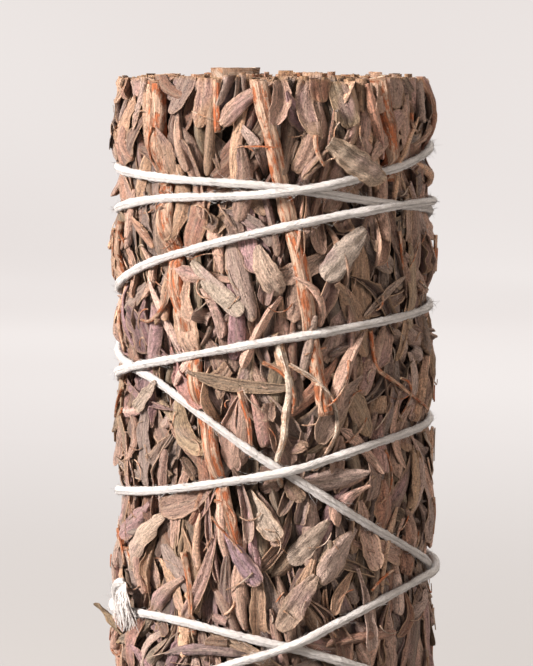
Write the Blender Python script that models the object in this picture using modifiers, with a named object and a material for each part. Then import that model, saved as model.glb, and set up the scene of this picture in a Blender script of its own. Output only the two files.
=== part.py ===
"""Sage bunch: dried sage sprigs pressed into a round roll, sawn flat at both ends, and wound with one
cotton string that is tied in a knot.  It stands on its lower sawn end.

Lengths below are in millimetres and angles in degrees; MM turns them into Blender's metres.  +Z is up and
the origin is the middle of the lower end.  An angle of 0 faces -Y and grows towards +X.
"""

import math

import bmesh
import bpy
import numpy as np
from mathutils import Vector

MM = 0.001

# Driving dimensions of the bunch.
LENGTH = 102.0
CORE_RADIUS = 4.0
INNER_RING = (4.3, 12.0)
OUTER_RING = (12.3, 19.45)
SWELL = 1.1
RIM_DROP = 0.5
GAP = 0.3

# The sprigs: one in the middle, then two rings packed round it.
INNER_COUNT = 6
OUTER_COUNT = 12
FIRST_SPRIG = -42.0
STALK_RADIUS = 3.0
STALK_STANDS = 1.2

# The string.
STRING_RADIUS = 0.65
STRING_AT = 20.6
STRING_LIFT = 2.05
POINTS_PER_TURN = 20
# The string's route as it is wound: the running angle, which falls as it goes round, and the height there.
STRING_ROUTE = [
    (-100, 31.4), (-180, 33.0), (-270, 36.5), (-315, 42.6), (-360, 52.4), (-405, 62.4), (-450, 65.9),
    (-540, 75.0), (-630, 84.2), (-675, 85.7), (-720, 88.1), (-765, 89.1), (-810, 90.2),
    (-900, 92.0), (-990, 93.0), (-1035, 90.0), (-1080, 87.3), (-1125, 86.4), (-1170, 84.5),
    (-1260, 85.0), (-1350, 85.7), (-1395, 85.4), (-1440, 82.7), (-1485, 78.6), (-1530, 74.0),
    (-1620, 72.6), (-1710, 71.9), (-1755, 70.7), (-1800, 68.5), (-1845, 65.35), (-1890, 62.1),
    (-1980, 59.5), (-2070, 56.7), (-2115, 55.2), (-2160, 51.5), (-2205, 48.6), (-2250, 46.8),
    (-2340, 42.0), (-2430, 36.9), (-2475, 34.6), (-2520, 28.6), (-2565, 23.3), (-2610, 19.0),
    (-2700, 16.0), (-2790, 13.0), (-2880, 11.0), (-2970, 9.5), (-3060, 8.8), (-3150, 9.5),
    (-3240, 11.0), (-3330, 13.0), (-3420, 15.2), (-3510, 18.0), (-3555, 24.3), (-3600, 29.4),
    (-3645, 32.0), (-3676, 31.4),
]
LAST_TURN_BEGINS = -3340
TUCKED_UNDER = 6.6

# The knot, where the string's two ends turn once about each other, with a free tail on each.
KNOT_ANGLE = -88.0
KNOT_HEIGHT = 31.4
KNOT_HALF = 2.6
KNOT_TURN = 0.87
KNOT_STANDS = 1.0

# Stems that lie on the outside: radius, share of it left at the lower end, (angle, height) down the stem.
OUTSIDE_STEMS = {
    "outside_stem_left": (
        1.5, 0.75, [(-48.5, 101.6), (-44.5, 86.7), (-35.2, 73.5), (-25.0, 56.9), (-13.5, 41.8)]),
    "outside_stem_middle": (
        1.25, 0.9, [(-4.3, 99.1), (-0.8, 94.0), (1.9, 89.2), (8.9, 78.6), (15.4, 64.1), (18.0, 58.9)]),
    "outside_stem_short": (0.6, 0.8, [(-20.3, 101.5), (-20.0, 98.5), (-19.6, 95.0)]),
    "outside_stem_edge": (0.6, 0.8, [(-71, 83.2), (-73, 79.0), (-74, 75.8)]),
}
OUTSIDE_STEM_TOP = 19.35
SLOT_RISE = 1.6
NEAR_SPRIG = 24.0

# Leaves that lie free on the outside: angle, height, radius, length, width, lean of the tip, cup, lift.
LOOSE_LEAVES = {
    "loose_leaf_folded": (29.0, 91.2, 21.75, 9.0, 4.2, 61, 0.5, 0.4),
    "loose_leaf_pale": (25.0, 79.6, 21.15, 8.4, 3.6, -44, 0.4, 0.3),
    "loose_leaf_diagonal": (-21.0, 75.0, 21.15, 9.2, 2.6, 47, 0.4, 0.3),
    "loose_leaf_square": (-2.6, 77.4, 21.15, 6.6, 3.2, 27, 0.3, 0.3),
    "loose_leaf_over_string": (-51.0, 60.9, 21.75, 5.2, 2.4, -46, 0.3, 0.0),
    "loose_leaf_cream": (-56.0, 41.6, 21.15, 10.4, 4.0, -47, 0.5, 0.3),
    "loose_leaf_curled": (-75.0, 25.6, 21.15, 5.4, 2.4, -62, 0.6, 1.2),
    "loose_leaf_flap": (82.0, 51.4, 21.15, 6.6, 3.0, 5, 0.4, 0.3),
    "loose_leaf_low_left": (-4.6, 46.0, 21.15, 7.0, 3.0, 34, 0.4, 0.3),
    "loose_leaf_low_right": (12.5, 42.6, 21.15, 7.2, 3.0, -45, 0.4, 0.3),
    "loose_leaf_mauve": (-11.5, 40.4, 21.15, 7.6, 3.0, 33, 0.4, 0.3),
    "loose_leaf_broad": (7.8, 34.8, 21.15, 8.2, 3.4, -32, 0.4, 0.3),
    "loose_leaf_back_high": (150.0, 64.5, 21.15, 9.0, 3.2, 24, 0.4, 0.3),
    "loose_leaf_back_middle": (-150.0, 52.6, 21.15, 9.0, 3.4, -18, 0.4, 0.3),
    "loose_leaf_back_low": (176.0, 24.5, 21.15, 8.0, 3.2, 14, 0.4, 0.3),
}
LEAF_THICK = 0.4


def clear_scene():
    for old in list(bpy.data.objects):
        bpy.data.objects.remove(old, do_unlink=True)


def new_collection(name):
    made = bpy.data.collections.new(name)
    bpy.context.scene.collection.children.link(made)
    return made


def material(name, colour, roughness):
    made = bpy.data.materials.new(name)
    made.use_nodes = True
    shader = made.node_tree.nodes["Principled BSDF"]
    shader.inputs["Base Color"].default_value = (*colour, 1.0)
    shader.inputs["Roughness"].default_value = roughness
    shader.inputs["Metallic"].default_value = 0.0
    made.diffuse_color = (*colour, 1.0)
    return made


def on_bunch(angle, height, radius):
    """A point in metres from its angle, height and distance from the bunch's axis."""
    turn = math.radians(angle)
    return Vector((radius * math.sin(turn) * MM, -radius * math.cos(turn) * MM, height * MM))


def grown(angle, height):
    """The angle that a sprig has wandered to at a height: sprigs lie a little twisted, not dead straight."""
    wave = 2.0 * math.sin(math.radians(3 * angle + 6.2 * height))
    ripple = 1.3 * math.sin(math.radians(5 * angle - 10.9 * height + 40))
    return angle + 6.0 * (height / LENGTH - 0.5) + wave + ripple


# ---------------------------------------------------------------- the string's route

def string_height(angle):
    """The winding's height at a running angle, on a smooth curve through STRING_ROUTE."""
    route = np.array(STRING_ROUTE[::-1], float)
    at, height = route[:, 0], route[:, 1]
    slope = np.gradient(height, at)
    angle = np.clip(angle, at[0], at[-1])
    i = np.clip(np.searchsorted(at, angle) - 1, 0, len(at) - 2)
    span = at[i + 1] - at[i]
    s = (angle - at[i]) / span
    return (
        (2 * s**3 - 3 * s**2 + 1) * height[i]
        + (s**3 - 2 * s**2 + s) * span * slope[i]
        + (3 * s**2 - 2 * s**3) * height[i + 1]
        + (s**3 - s**2) * span * slope[i + 1]
    )


def string_winding():
    """Arrays of the winding's running angle, height and radius: a later turn rides over an earlier one."""
    first, last = STRING_ROUTE[0][0], STRING_ROUTE[-1][0]
    angle = np.linspace(first, last, int((first - last) / 2.5))
    height = string_height(angle)
    order = -angle / 360
    order[angle < LAST_TURN_BEGINS] = TUCKED_UNDER
    radius = np.full(len(angle), STRING_AT)
    spread = 3
    for i in np.argsort(order, kind="stable"):
        away = (angle - angle[i] + 180) % 360 - 180
        arc = np.radians(away) * STRING_AT
        apart = np.hypot(arc, height - height[i])
        below = (order < order[i] - 0.2) & (apart < STRING_LIFT)
        if below.any():
            over = radius[below] + np.sqrt(STRING_LIFT**2 - apart[below] ** 2)
            lo, hi = max(0, i - spread), i + spread + 1
            radius[lo:hi] = np.maximum(radius[lo:hi], over.max())
    weights = np.array([1.0, 2.0, 3.0, 2.0, 1.0])
    padded = np.pad(radius, 2, mode="edge")
    smooth = np.convolve(padded, weights / weights.sum(), mode="valid")
    return angle, height, np.maximum(smooth, radius - 0.12)


def thinned(angle, height, radius, slack=0.16):
    """The fewest of those points that keep the route within slack of itself."""
    points = np.array([on_bunch(a, z, r) for a, z, r in zip(angle, height, radius)]) / MM
    longest = math.radians(360 / POINTS_PER_TURN) * 1.01
    keep = [0]
    while keep[-1] < len(points) - 1:
        start = keep[-1]
        end = start + 1
        while end + 1 < len(points):
            chord = points[end + 1] - points[start]
            chord /= np.linalg.norm(chord)
            inside = points[start + 1 : end + 1] - points[start]
            off = np.linalg.norm(np.cross(inside, chord), axis=1)
            swept = math.radians(angle[start] - angle[end + 1])
            if off.max() > slack * 2 or swept > longest:
                break
            end += 1
        keep.append(end)
    return keep


def knot_path(side):
    """One end of the string at the knot, from its tail's tip to where the winding takes over."""
    lead = [(4.4, 1.6, 6.6), (4.1, 0.9, 4.4), (3.6, 0.5, 2.2)] if side > 0 else [
        (-4.2, 1.3, -6.4), (-4.0, 1.9, -4.2), (-3.5, 2.1, -2.0)]
    twist = []
    for step in range(9):
        share = step / 8
        along = side * KNOT_HALF * (1 - 2 * share)
        phase = math.radians(-90 + 360 * (along + KNOT_HALF) / (2 * KNOT_HALF) + (0 if side > 0 else 180))
        twist.append((along, KNOT_STANDS + KNOT_TURN * math.sin(phase), KNOT_TURN * math.cos(phase)))
    path = []
    for along, out, up in lead + twist:
        angle = KNOT_ANGLE + math.degrees(along / STRING_AT)
        path.append(on_bunch(angle, KNOT_HEIGHT + up, STRING_AT + out))
    return path


def string_path():
    angle, height, radius = string_winding()
    keep = thinned(angle, height, radius)
    wound = [on_bunch(angle[i], height[i], radius[i]) for i in keep]
    return knot_path(1) + wound + knot_path(-1)[::-1]


STRING_SAMPLES = string_winding()[:2]


def skin(angle, height):
    """The leaf mass's outer radius: full where no string presses on it, drawn in beside the string."""
    angles, heights = STRING_SAMPLES
    arc = np.radians((angles - angle + 180) % 360 - 180) * STRING_AT
    clear = float(np.hypot(arc, heights - height).min())
    share = min(1.0, max(0.0, (clear - 4.4) / 3.0))
    return OUTER_RING[1] + SWELL * share * share * (3 - 2 * share)


# ---------------------------------------------------------------- building helpers

def link(obj, collection, look=None):
    collection.objects.link(obj)
    if look is not None:
        obj.data.materials.append(look)
    return obj


def tube(name, points, radius, collection, look=None, taper=1.0):
    """A round tube along points, with filled caps."""
    data = bpy.data.curves.new(name, "CURVE")
    data.dimensions = "3D"
    data.bevel_depth = radius * MM
    data.bevel_resolution = 2
    data.use_fill_caps = True
    spline = data.splines.new("POLY")
    spline.points.add(len(points) - 1)
    for i, point in enumerate(points):
        spline.points[i].co = (*point, 1.0)
        spline.points[i].radius = 1.0 + (taper - 1.0) * i / (len(points) - 1)
    return link(bpy.data.objects.new(name, data), collection, look)


def cutter_tube(name, points, radius, taper=1.0):
    """The same tube as a closed mesh that a Boolean can cut with."""
    curve = tube(name + "_route", points, radius, CUTTERS, None, taper)
    graph = bpy.context.evaluated_depsgraph_get()
    data = bpy.data.meshes.new_from_object(curve.evaluated_get(graph))
    solid = bpy.data.objects.new(name, data)
    solid.matrix_world = curve.matrix_world
    bpy.data.objects.remove(curve, do_unlink=True)
    work = bmesh.new()
    work.from_mesh(data)
    bmesh.ops.remove_doubles(work, verts=work.verts, dist=0.00001)
    bmesh.ops.recalc_face_normals(work, faces=work.faces)
    work.to_mesh(data)
    work.free()
    link(solid, CUTTERS)
    solid.hide_render = True
    solid.display_type = "WIRE"
    return solid


def cut(obj, cutter):
    boolean = obj.modifiers.new("cut_" + cutter.name, "BOOLEAN")
    boolean.operation = "DIFFERENCE"
    boolean.object = cutter


def loft(name, rings, look):
    """A closed solid through rings of the same number of points, first to last."""
    work = bmesh.new()
    rows = [[work.verts.new(point) for point in ring] for ring in rings]
    count = len(rows[0])
    for lower, upper in zip(rows, rows[1:]):
        for i in range(count):
            j = (i + 1) % count
            work.faces.new((lower[i], lower[j], upper[j], upper[i]))
    work.faces.new(rows[0][::-1])
    work.faces.new(rows[-1])
    bmesh.ops.recalc_face_normals(work, faces=work.faces)
    data = bpy.data.meshes.new(name)
    work.to_mesh(data)
    work.free()
    return link(bpy.data.objects.new(name, data), PARTS, look)


# ---------------------------------------------------------------- the sprigs

def section(height, centre, half, inside, outside, crumple):
    """One level of a sprig's leaf mass: a slice of a ring, with its sides set back by half the gap."""
    def point(angle, radius, side):
        back = math.degrees(GAP * 0.6 / radius) * side
        return on_bunch(grown(centre + angle, height) - back, height, radius)

    outer = []
    for i, dent in enumerate(crumple):
        angle = -half + 2 * half * i / (len(crumple) - 1)
        side = {0: -1, len(crumple) - 1: 1}.get(i, 0)
        radius = outside(grown(centre + angle, height), height) - dent
        outer.append(point(angle, radius, side))
    inner = [point(angle, inside, side) for angle, side in ((half, 1), (0, 0), (-half, -1))]
    return outer + inner


def ring_sprig(name, centre, half, ring, levels, top, foot, outside, rng, look):
    heights = [foot, foot + 0.9] + list(np.linspace(foot, top, levels)[1:-1]) + [top - 0.9, top]
    rings = []
    for height in heights:
        rim = RIM_DROP if height in (foot, top) else 0.0
        crumple = rim + rng.uniform(0.0, 0.45, 5)
        rings.append(section(height, centre, half, ring[0], outside, crumple))
    return loft(name, rings, look)


def sprig_stem(name, angle, distance, radius, top, foot, rng, look, taper):
    """A sprig's stem: it wanders with the leaves, and both sawn ends are square."""
    heights = [top, top - 1.2] + list(np.linspace(top, foot, 5)[1:-1]) + [foot + 1.2, foot]
    sway = rng.uniform(-0.25, 0.25, len(heights))
    points = []
    for i, height in enumerate(heights):
        level = heights[1] if i == 0 else heights[-2] if i == len(heights) - 1 else height
        bend = sway[1] if i == 0 else sway[-2] if i == len(heights) - 1 else sway[i]
        point = on_bunch(grown(angle, level), height, distance + bend)
        points.append(point)
    stem = tube(name, points, radius, PARTS, look, taper)
    longer = [points[0] + Vector((0, 0, 2 * MM))] + points[1:-1] + [points[-1] - Vector((0, 0, 2 * MM))]
    hole = cutter_tube(name + "_hole", longer, radius + GAP, taper)
    return stem, hole


def core_sprig():
    rng = np.random.default_rng(10)
    sides = 12
    rings = []
    for height in np.linspace(0.0, LENGTH - 0.2, 5):
        ring = []
        for i in range(sides):
            radius = CORE_RADIUS - (0.25 if i % 2 else 0.0)
            ring.append(on_bunch(360 * i / sides + 0.1 * height, height, radius))
        rings.append(ring)
    leaves = loft("sprig_core_leaves", rings, LOOK["inner_leaves"])
    stem, hole = sprig_stem("sprig_core_stem", 130, 2.0, 1.1, LENGTH + 0.3, 0.4, rng, LOOK["stem"], 1.0)
    cut(leaves, hole)


def inner_sprigs():
    rng = np.random.default_rng(11)
    half = 180 / INNER_COUNT
    for number in range(INNER_COUNT):
        centre = FIRST_SPRIG + 2 * half * number
        name = f"sprig_inner_{number + 1}"
        top = LENGTH - rng.uniform(0.0, 0.5)
        leaves = ring_sprig(
            name + "_leaves", centre, half, INNER_RING, 6, top, 0.0,
            lambda angle, height: INNER_RING[1], rng, LOOK["inner_leaves"])
        radius = STALK_RADIUS if number == 0 else rng.uniform(1.0, 1.7)
        stands = STALK_STANDS if number == 0 else rng.uniform(0.1, 0.7)
        stem, hole = sprig_stem(
            name + "_stem", centre, 8.1, radius, LENGTH + stands, rng.uniform(0.2, 0.6), rng,
            LOOK["stalk"] if number == 0 else LOOK["stem"], 1.0)
        cut(leaves, hole)


def outer_sprigs():
    rng = np.random.default_rng(12)
    half = 180 / OUTER_COUNT
    made = {}
    for number in range(OUTER_COUNT):
        centre = FIRST_SPRIG + 2 * half * number
        name = f"sprig_outer_{number + 1:02d}"
        top = LENGTH - rng.uniform(0.0, 0.4)
        leaves = ring_sprig(
            name + "_leaves", centre, half, OUTER_RING, 23, top, 0.0, skin, rng, LOOK["leaves"])
        stem, hole = sprig_stem(
            name + "_stem", centre + rng.uniform(-3, 3), 14.9, rng.uniform(0.8, 1.25),
            LENGTH + rng.uniform(0.0, 0.5), rng.uniform(0.2, 0.6), rng, LOOK["stem"], 0.9)
        cut(leaves, hole)
        made[centre] = leaves
    return made


def outside_stems(sprigs):
    for name, (radius, taper, route) in OUTSIDE_STEMS.items():
        distance = OUTSIDE_STEM_TOP - radius
        points = [on_bunch(angle, height, distance) for angle, height in route]
        tube(name, points, radius, PARTS, LOOK["stem"], taper)
        # The groove is open to the outside: one cut round the stem, and one above it through to the air.
        spare = GAP * 1.5 * MM
        ends = [points[0] + (points[0] - points[1]).normalized() * spare] + points[1:-1]
        ends.append(points[-1] + (points[-1] - points[-2]).normalized() * spare)
        if route[0][1] > LENGTH - 1:
            ends[0] = points[0] + Vector((0, 0, 3 * MM))
        groove = cutter_tube(name + "_groove", ends, radius + GAP, taper)
        raised = [on_bunch(angle, height, distance + SLOT_RISE) for angle, height in route]
        raised[0] += ends[0] - points[0]
        raised[-1] += ends[-1] - points[-1]
        slot = cutter_tube(name + "_slot", raised, radius + GAP, taper)
        for centre, leaves in sprigs.items():
            reach = [abs((grown(centre, height) - angle + 180) % 360 - 180) for angle, height in route]
            if min(reach) < NEAR_SPRIG:
                cut(leaves, groove)
                cut(leaves, slot)


# ---------------------------------------------------------------- leaves lying free

def loose_leaf(name, angle, height, radius, length, width, lean, cup, lift):
    """A spoon-shaped leaf: narrow at its stalk, widest past the middle, round at the tip, hollow inside."""
    work = bmesh.new()
    bmesh.ops.create_grid(work, x_segments=2, y_segments=6, size=1.0)
    turn = math.radians(lean)
    for vert in work.verts:
        across, along = vert.co.x, (vert.co.y + 1) / 2
        broad = 0.2 + 0.8 * math.sin(math.pi * min(1.0, along * 0.94) ** 1.5) ** 0.8
        x = across * broad * width / 2
        y = (0.5 - along) * length
        sideways = x * math.cos(turn) + (-y) * math.sin(turn)
        upward = y * math.cos(turn) + x * math.sin(turn)
        out = radius + cup * across * across * broad + lift * along * along
        vert.co = on_bunch(angle + math.degrees(sideways / radius), height + upward, out)
    data = bpy.data.meshes.new(name)
    bmesh.ops.recalc_face_normals(work, faces=work.faces)
    facing = sum((face.normal.dot(Vector((face.calc_center_median().x, face.calc_center_median().y, 0)))
                  for face in work.faces), 0.0)
    if facing < 0:
        bmesh.ops.reverse_faces(work, faces=work.faces)
    work.to_mesh(data)
    work.free()
    leaf = link(bpy.data.objects.new(name, data), PARTS, LOOK["leaves"])
    thick = leaf.modifiers.new("thickness", "SOLIDIFY")
    thick.thickness = LEAF_THICK * MM
    thick.offset = 1.0
    return leaf


clear_scene()
PARTS = new_collection("sage_bunch")
CUTTERS = new_collection("cutters")
LOOK = {
    "leaves": material("dry_leaf", (0.30, 0.22, 0.17), 0.85),
    "inner_leaves": material("dry_leaf_edge", (0.40, 0.29, 0.20), 0.9),
    "stem": material("stem_bark", (0.42, 0.19, 0.09), 0.7),
    "stalk": material("stalk_bark", (0.50, 0.32, 0.20), 0.75),
    "string": material("cotton_string", (0.82, 0.78, 0.72), 0.95),
}
core_sprig()
inner_sprigs()
outside_stems(outer_sprigs())
for leaf_name, leaf_shape in LOOSE_LEAVES.items():
    loose_leaf(leaf_name, *leaf_shape)
tube("string", string_path(), STRING_RADIUS, PARTS, LOOK["string"])
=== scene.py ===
# %% [markdown]
# # A sage bunch
# The bunch is a round roll of dried sage: stems with their leaves still on, pressed together, sawn flat at
# both ends and wound with one cotton string.  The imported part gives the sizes: where each sprig, stem, free
# leaf and the string are.  This lesson dresses it: leaves are laid one by one on the roll, the way they
# were pressed on, and every leaf, stem and fibre is real geometry.

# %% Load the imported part
import math

import bpy
import numpy as np
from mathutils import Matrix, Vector


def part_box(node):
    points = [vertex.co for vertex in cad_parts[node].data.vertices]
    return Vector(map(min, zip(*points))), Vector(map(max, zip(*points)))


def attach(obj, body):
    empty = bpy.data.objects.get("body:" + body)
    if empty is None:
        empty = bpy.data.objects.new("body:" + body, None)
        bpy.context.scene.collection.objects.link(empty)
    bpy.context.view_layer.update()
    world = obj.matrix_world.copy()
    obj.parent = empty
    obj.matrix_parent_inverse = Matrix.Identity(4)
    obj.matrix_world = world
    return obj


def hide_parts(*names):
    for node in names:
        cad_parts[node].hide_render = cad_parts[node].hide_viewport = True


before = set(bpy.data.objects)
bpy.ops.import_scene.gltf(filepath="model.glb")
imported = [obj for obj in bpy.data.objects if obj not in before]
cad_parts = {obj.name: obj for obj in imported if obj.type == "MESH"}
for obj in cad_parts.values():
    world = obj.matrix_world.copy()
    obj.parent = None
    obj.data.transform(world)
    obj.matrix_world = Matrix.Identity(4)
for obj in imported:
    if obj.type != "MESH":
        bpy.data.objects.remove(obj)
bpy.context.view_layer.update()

print("packed part:", len(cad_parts), "nodes")

# %% [markdown]
# ## Working on the unrolled surface
# A leaf on a roll is easiest to lay if the roll is thought of as unrolled: `s` runs round it, `z` up it and
# `r` is the distance from its axis.  All three are in millimetres.  `rolled` turns them back into points.

# %% Sizes, and the way from unrolled to rolled
MM = 0.001
ROLL = 21.0                      # the radius at which s is measured
ROUND = 2 * math.pi * ROLL
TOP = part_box("sprig_core_leaves")[1].z / MM + 0.2
BOTTOM = 0.0


def rolled(s, z, r):
    """Points in millimetres from unrolled places.  s = 0 faces -Y and s grows towards +X."""
    turn = s / ROLL
    return np.stack([r * np.sin(turn), -r * np.cos(turn), z + 0 * r], axis=-1)


def unrolled(points):
    """The unrolled s, z and r of points in millimetres."""
    s = np.arctan2(points[:, 0], -points[:, 1]) * ROLL
    return s, points[:, 2], np.hypot(points[:, 0], points[:, 1])


def node_points(name):
    """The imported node's own vertices in millimetres, each once."""
    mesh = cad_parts[name].data
    co = np.empty(len(mesh.vertices) * 3)
    mesh.vertices.foreach_get("co", co)
    return np.unique(np.round(co.reshape(-1, 3) / MM, 3), axis=0)


def shortest_way(s):
    """A distance round the roll, taken the shorter way."""
    return (s + ROUND / 2) % ROUND - ROUND / 2


def smooth_curve(at, values, wanted):
    """Rows of values at the wanted places, on a smooth curve through the known rows."""
    slope = np.gradient(values, at, axis=0)
    i = np.clip(np.searchsorted(at, wanted) - 1, 0, len(at) - 2)
    span = (at[i + 1] - at[i])[:, None]
    t = (wanted - at[i])[:, None] / span
    return (
        (2 * t**3 - 3 * t**2 + 1) * values[i]
        + (t**3 - 2 * t**2 + t) * span * slope[i]
        + (3 * t**2 - 2 * t**3) * values[i + 1]
        + (t**3 - t**2) * span * slope[i + 1]
    )


def running_mean(values, weights, **padding):
    """Values smoothed along their line with a window of weights."""
    padded = np.pad(values, len(weights) // 2, **(padding or {"mode": "edge"}))
    return np.convolve(padded, weights, mode="valid")


print("length", round(TOP, 1), "mm, round", round(ROUND, 1), "mm")

# %% [markdown]
# ## Where the string runs
# The string presses the leaves down, so its route comes first.  It is the same list of places as in the
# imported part: the running angle, which falls as the string is wound, and the height there.  Where two turns
# cross, the one wound later rides over the other.

# %% The string's route
STRING_ROUTE = [
    (-100, 31.4), (-180, 33.0), (-270, 36.5), (-315, 42.6), (-360, 52.4), (-405, 62.4), (-450, 65.9),
    (-540, 75.0), (-630, 84.2), (-675, 85.7), (-720, 88.1), (-765, 89.1), (-810, 90.2),
    (-900, 92.0), (-990, 93.0), (-1035, 90.0), (-1080, 87.3), (-1125, 86.4), (-1170, 84.5),
    (-1260, 85.0), (-1350, 85.7), (-1395, 85.4), (-1440, 82.7), (-1485, 78.6), (-1530, 74.0),
    (-1620, 72.6), (-1710, 71.9), (-1755, 70.7), (-1800, 68.5), (-1845, 65.35), (-1890, 62.1),
    (-1980, 59.5), (-2070, 56.7), (-2115, 55.2), (-2160, 51.5), (-2205, 48.6), (-2250, 46.8),
    (-2340, 42.0), (-2430, 36.9), (-2475, 34.6), (-2520, 28.6), (-2565, 23.3), (-2610, 19.0),
    (-2700, 16.0), (-2790, 13.0), (-2880, 11.0), (-2970, 9.5), (-3060, 8.8), (-3150, 9.5),
    (-3240, 11.0), (-3330, 13.0), (-3420, 15.2), (-3510, 18.0), (-3555, 24.3), (-3600, 29.4),
    (-3645, 32.0), (-3676, 31.4),
]
LAST_TURN_BEGINS = -3340
TUCKED_UNDER = 6.6               # the last turn was tucked under the turn that has this number
STRING_THICK = 1.08
STRING_AT = 20.75


def wind_string(step=0.7, lift=1.02):
    """Angle, height and radius along the winding, with each crossing lifted over the turn below it."""
    route = np.array(STRING_ROUTE[::-1], float)
    first, last = route[-1, 0], route[0, 0]
    angle = np.linspace(first, last, int((first - last) / step))
    height = smooth_curve(route[:, 0], route[:, 1:], angle)[:, 0]
    order = -angle / 360
    order[angle < LAST_TURN_BEGINS] = TUCKED_UNDER
    radius = np.full(len(angle), STRING_AT)
    for i in np.argsort(order, kind="stable"):
        away = (angle - angle[i] + 180) % 360 - 180
        apart = np.hypot(np.radians(away) * ROLL, height - height[i])
        below = (order < order[i] - 0.2) & (apart < lift)
        if below.any():
            over = radius[below] + np.sqrt(lift**2 - apart[below] ** 2)
            radius[i] = max(radius[i], over.max())
    reach = 12
    padded = np.pad(radius, reach, mode="edge")
    lifted = np.array([padded[i : i + 2 * reach + 1].max() for i in range(len(radius))])
    window = np.hanning(2 * reach + 3)[1:-1]
    return angle, height, running_mean(lifted, window / window.sum())


string_angle, string_z, string_r = wind_string()
string_s = shortest_way(np.radians(string_angle) * ROLL)
print("string turns", round((string_angle[0] - string_angle[-1]) / 360, 1))

# %% [markdown]
# ## The heap and its ceiling
# Two maps cover the unrolled roll.  `heap` holds how high the leaves are piled so far, and `ceiling` how
# high they may go: leaves that were rolled in a press end at one surface.  The ceiling dips under the
# string, swells between its turns and crumbles at the sawn rims.  A leaf laid later lies on the heap.

# %% The maps
CELL = 0.3
COLUMNS = int(round(ROUND / CELL))
ROWS = int(TOP / CELL)
HEAP_STARTS = 17.3
draw = np.random.default_rng(2024)

cell_s = (np.arange(COLUMNS) + 0.5) * ROUND / COLUMNS
cell_s = np.where(cell_s > ROUND / 2, cell_s - ROUND, cell_s)[None, :]
cell_z = ((np.arange(ROWS) + 0.5) * CELL)[:, None]
heap = np.full((ROWS, COLUMNS), HEAP_STARTS)


def cells(s, z):
    """The maps' row and column of unrolled places."""
    column = np.floor((s % ROUND) / ROUND * COLUMNS).astype(int) % COLUMNS
    return np.clip((z / CELL).astype(int), 0, ROWS - 1), column


def ripples(count, shortest, longest, size):
    """A smooth uneven field on the unrolled roll, made of a few waves that close round it."""
    field = np.zeros((ROWS, COLUMNS))
    for _ in range(count):
        turns = draw.integers(0, int(ROUND / shortest))
        rise = draw.uniform(1 / longest, 1 / shortest) * draw.choice([-1, 1])
        phase = 2 * math.pi * (turns * cell_s / ROUND + rise * cell_z + draw.random())
        field += np.sin(phase)
    return size * field / math.sqrt(count / 2)


def near_string(s, z):
    """How far each place is from the nearest turn of string."""
    close = np.full(np.broadcast(s, z).shape, 99.0)
    for at_s, at_z in zip(string_s[::3], string_z[::3]):
        np.minimum(close, np.hypot(shortest_way(s - at_s), z - at_z), out=close)
    return close


string_gap = near_string(cell_s, cell_z)
ceiling = 22.1 + ripples(9, 7.0, 40.0, 0.25)
ceiling -= 1.95 * np.exp(-((string_gap / 1.05) ** 2))
rim_fall = np.clip((cell_z - 96.0) / 6.0, 0, 1) ** 2
ceiling -= rim_fall * (0.5 + 0.5 * (1 + np.sin(5 * cell_s / ROLL + 1.0)))
print("ceiling", ceiling.min().round(2), "to", ceiling.max().round(2), "mm")

# %% [markdown]
# ## The shape of one leaf
# A dried sage leaf is a narrow spoon: a thin stalk end, widest past its middle, a round tip.  Drying rolls
# its edges under, folds it along the rib or twists it.  `leaf_sheet` gives that shape lying flat, for any
# `t` from stalk to tip and `side` from edge to edge, so the same formula serves to lay a leaf and to mesh it.

# %% One leaf
LEAF_KINDS = {
    "broad": dict(length=(7.5, 12.5), width=(2.3, 3.5), roll=(0.25, 0.9), fold=(0, 0.25), widest=(0.5, 0.72)),
    "rolled": dict(length=(6.5, 12.0), width=(2.4, 4.0), roll=(1.3, 2.5), fold=(0, 0), widest=(0.4, 0.7)),
    "folded": dict(length=(7.0, 12.0), width=(2.4, 3.6), roll=(0.1, 0.5), fold=(0.6, 1.25), widest=(0.4, 0.7)),
    "strip": dict(length=(7.0, 15.0), width=(1.3, 2.4), roll=(1.2, 2.4), fold=(0, 0), widest=(0.3, 0.6)),
    "bit": dict(length=(2.0, 4.6), width=(1.2, 2.6), roll=(0.3, 1.2), fold=(0, 0.5), widest=(0.3, 0.5)),
}


def new_leaf(kind, size=1.0):
    """A leaf's own measures, drawn within its kind's."""
    limits = LEAF_KINDS[kind]
    leaf = {name: draw.uniform(*span) for name, span in limits.items()}
    leaf["length"] *= size
    leaf["width"] *= size
    leaf.update(
        kind=kind,
        facing=draw.choice([1.0, -1.0], p=[0.62, 0.38]),
        neck=draw.uniform(0.7, 1.5),
        stalk=draw.uniform(0.14, 0.34) if kind != "bit" else draw.uniform(0.5, 0.95),
        blunt=draw.uniform(2.4, 6.0),
        tip=0.1 if kind != "bit" else draw.uniform(0.1, 0.7),
        notch=draw.uniform(0.04, 0.12) if draw.random() < 0.12 else 0.0,
        twist=draw.normal(0, 0.35),
        sweep=draw.normal(0, 0.08),
        arch=draw.normal(0, 0.02),
        flutter=draw.uniform(0.03, 0.2),
        ridges=draw.uniform(1.8, 3.7),
        ridged=draw.uniform(0.04, 0.11),
        crumple=draw.uniform(0.02, 0.10),
        ragged=draw.uniform(0.03, 0.16),
        waves=draw.uniform(1.2, 3.0),
        phase=draw.uniform(0, 6.28),
        thick=draw.uniform(0.18, 0.34),
        number=draw.uniform(0, 100),
        pale_rim=draw.choice([0.15, 0.55, 1.0]),
        lift=0.0,
        tint=np.ones(3),
    )
    return leaf


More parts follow.
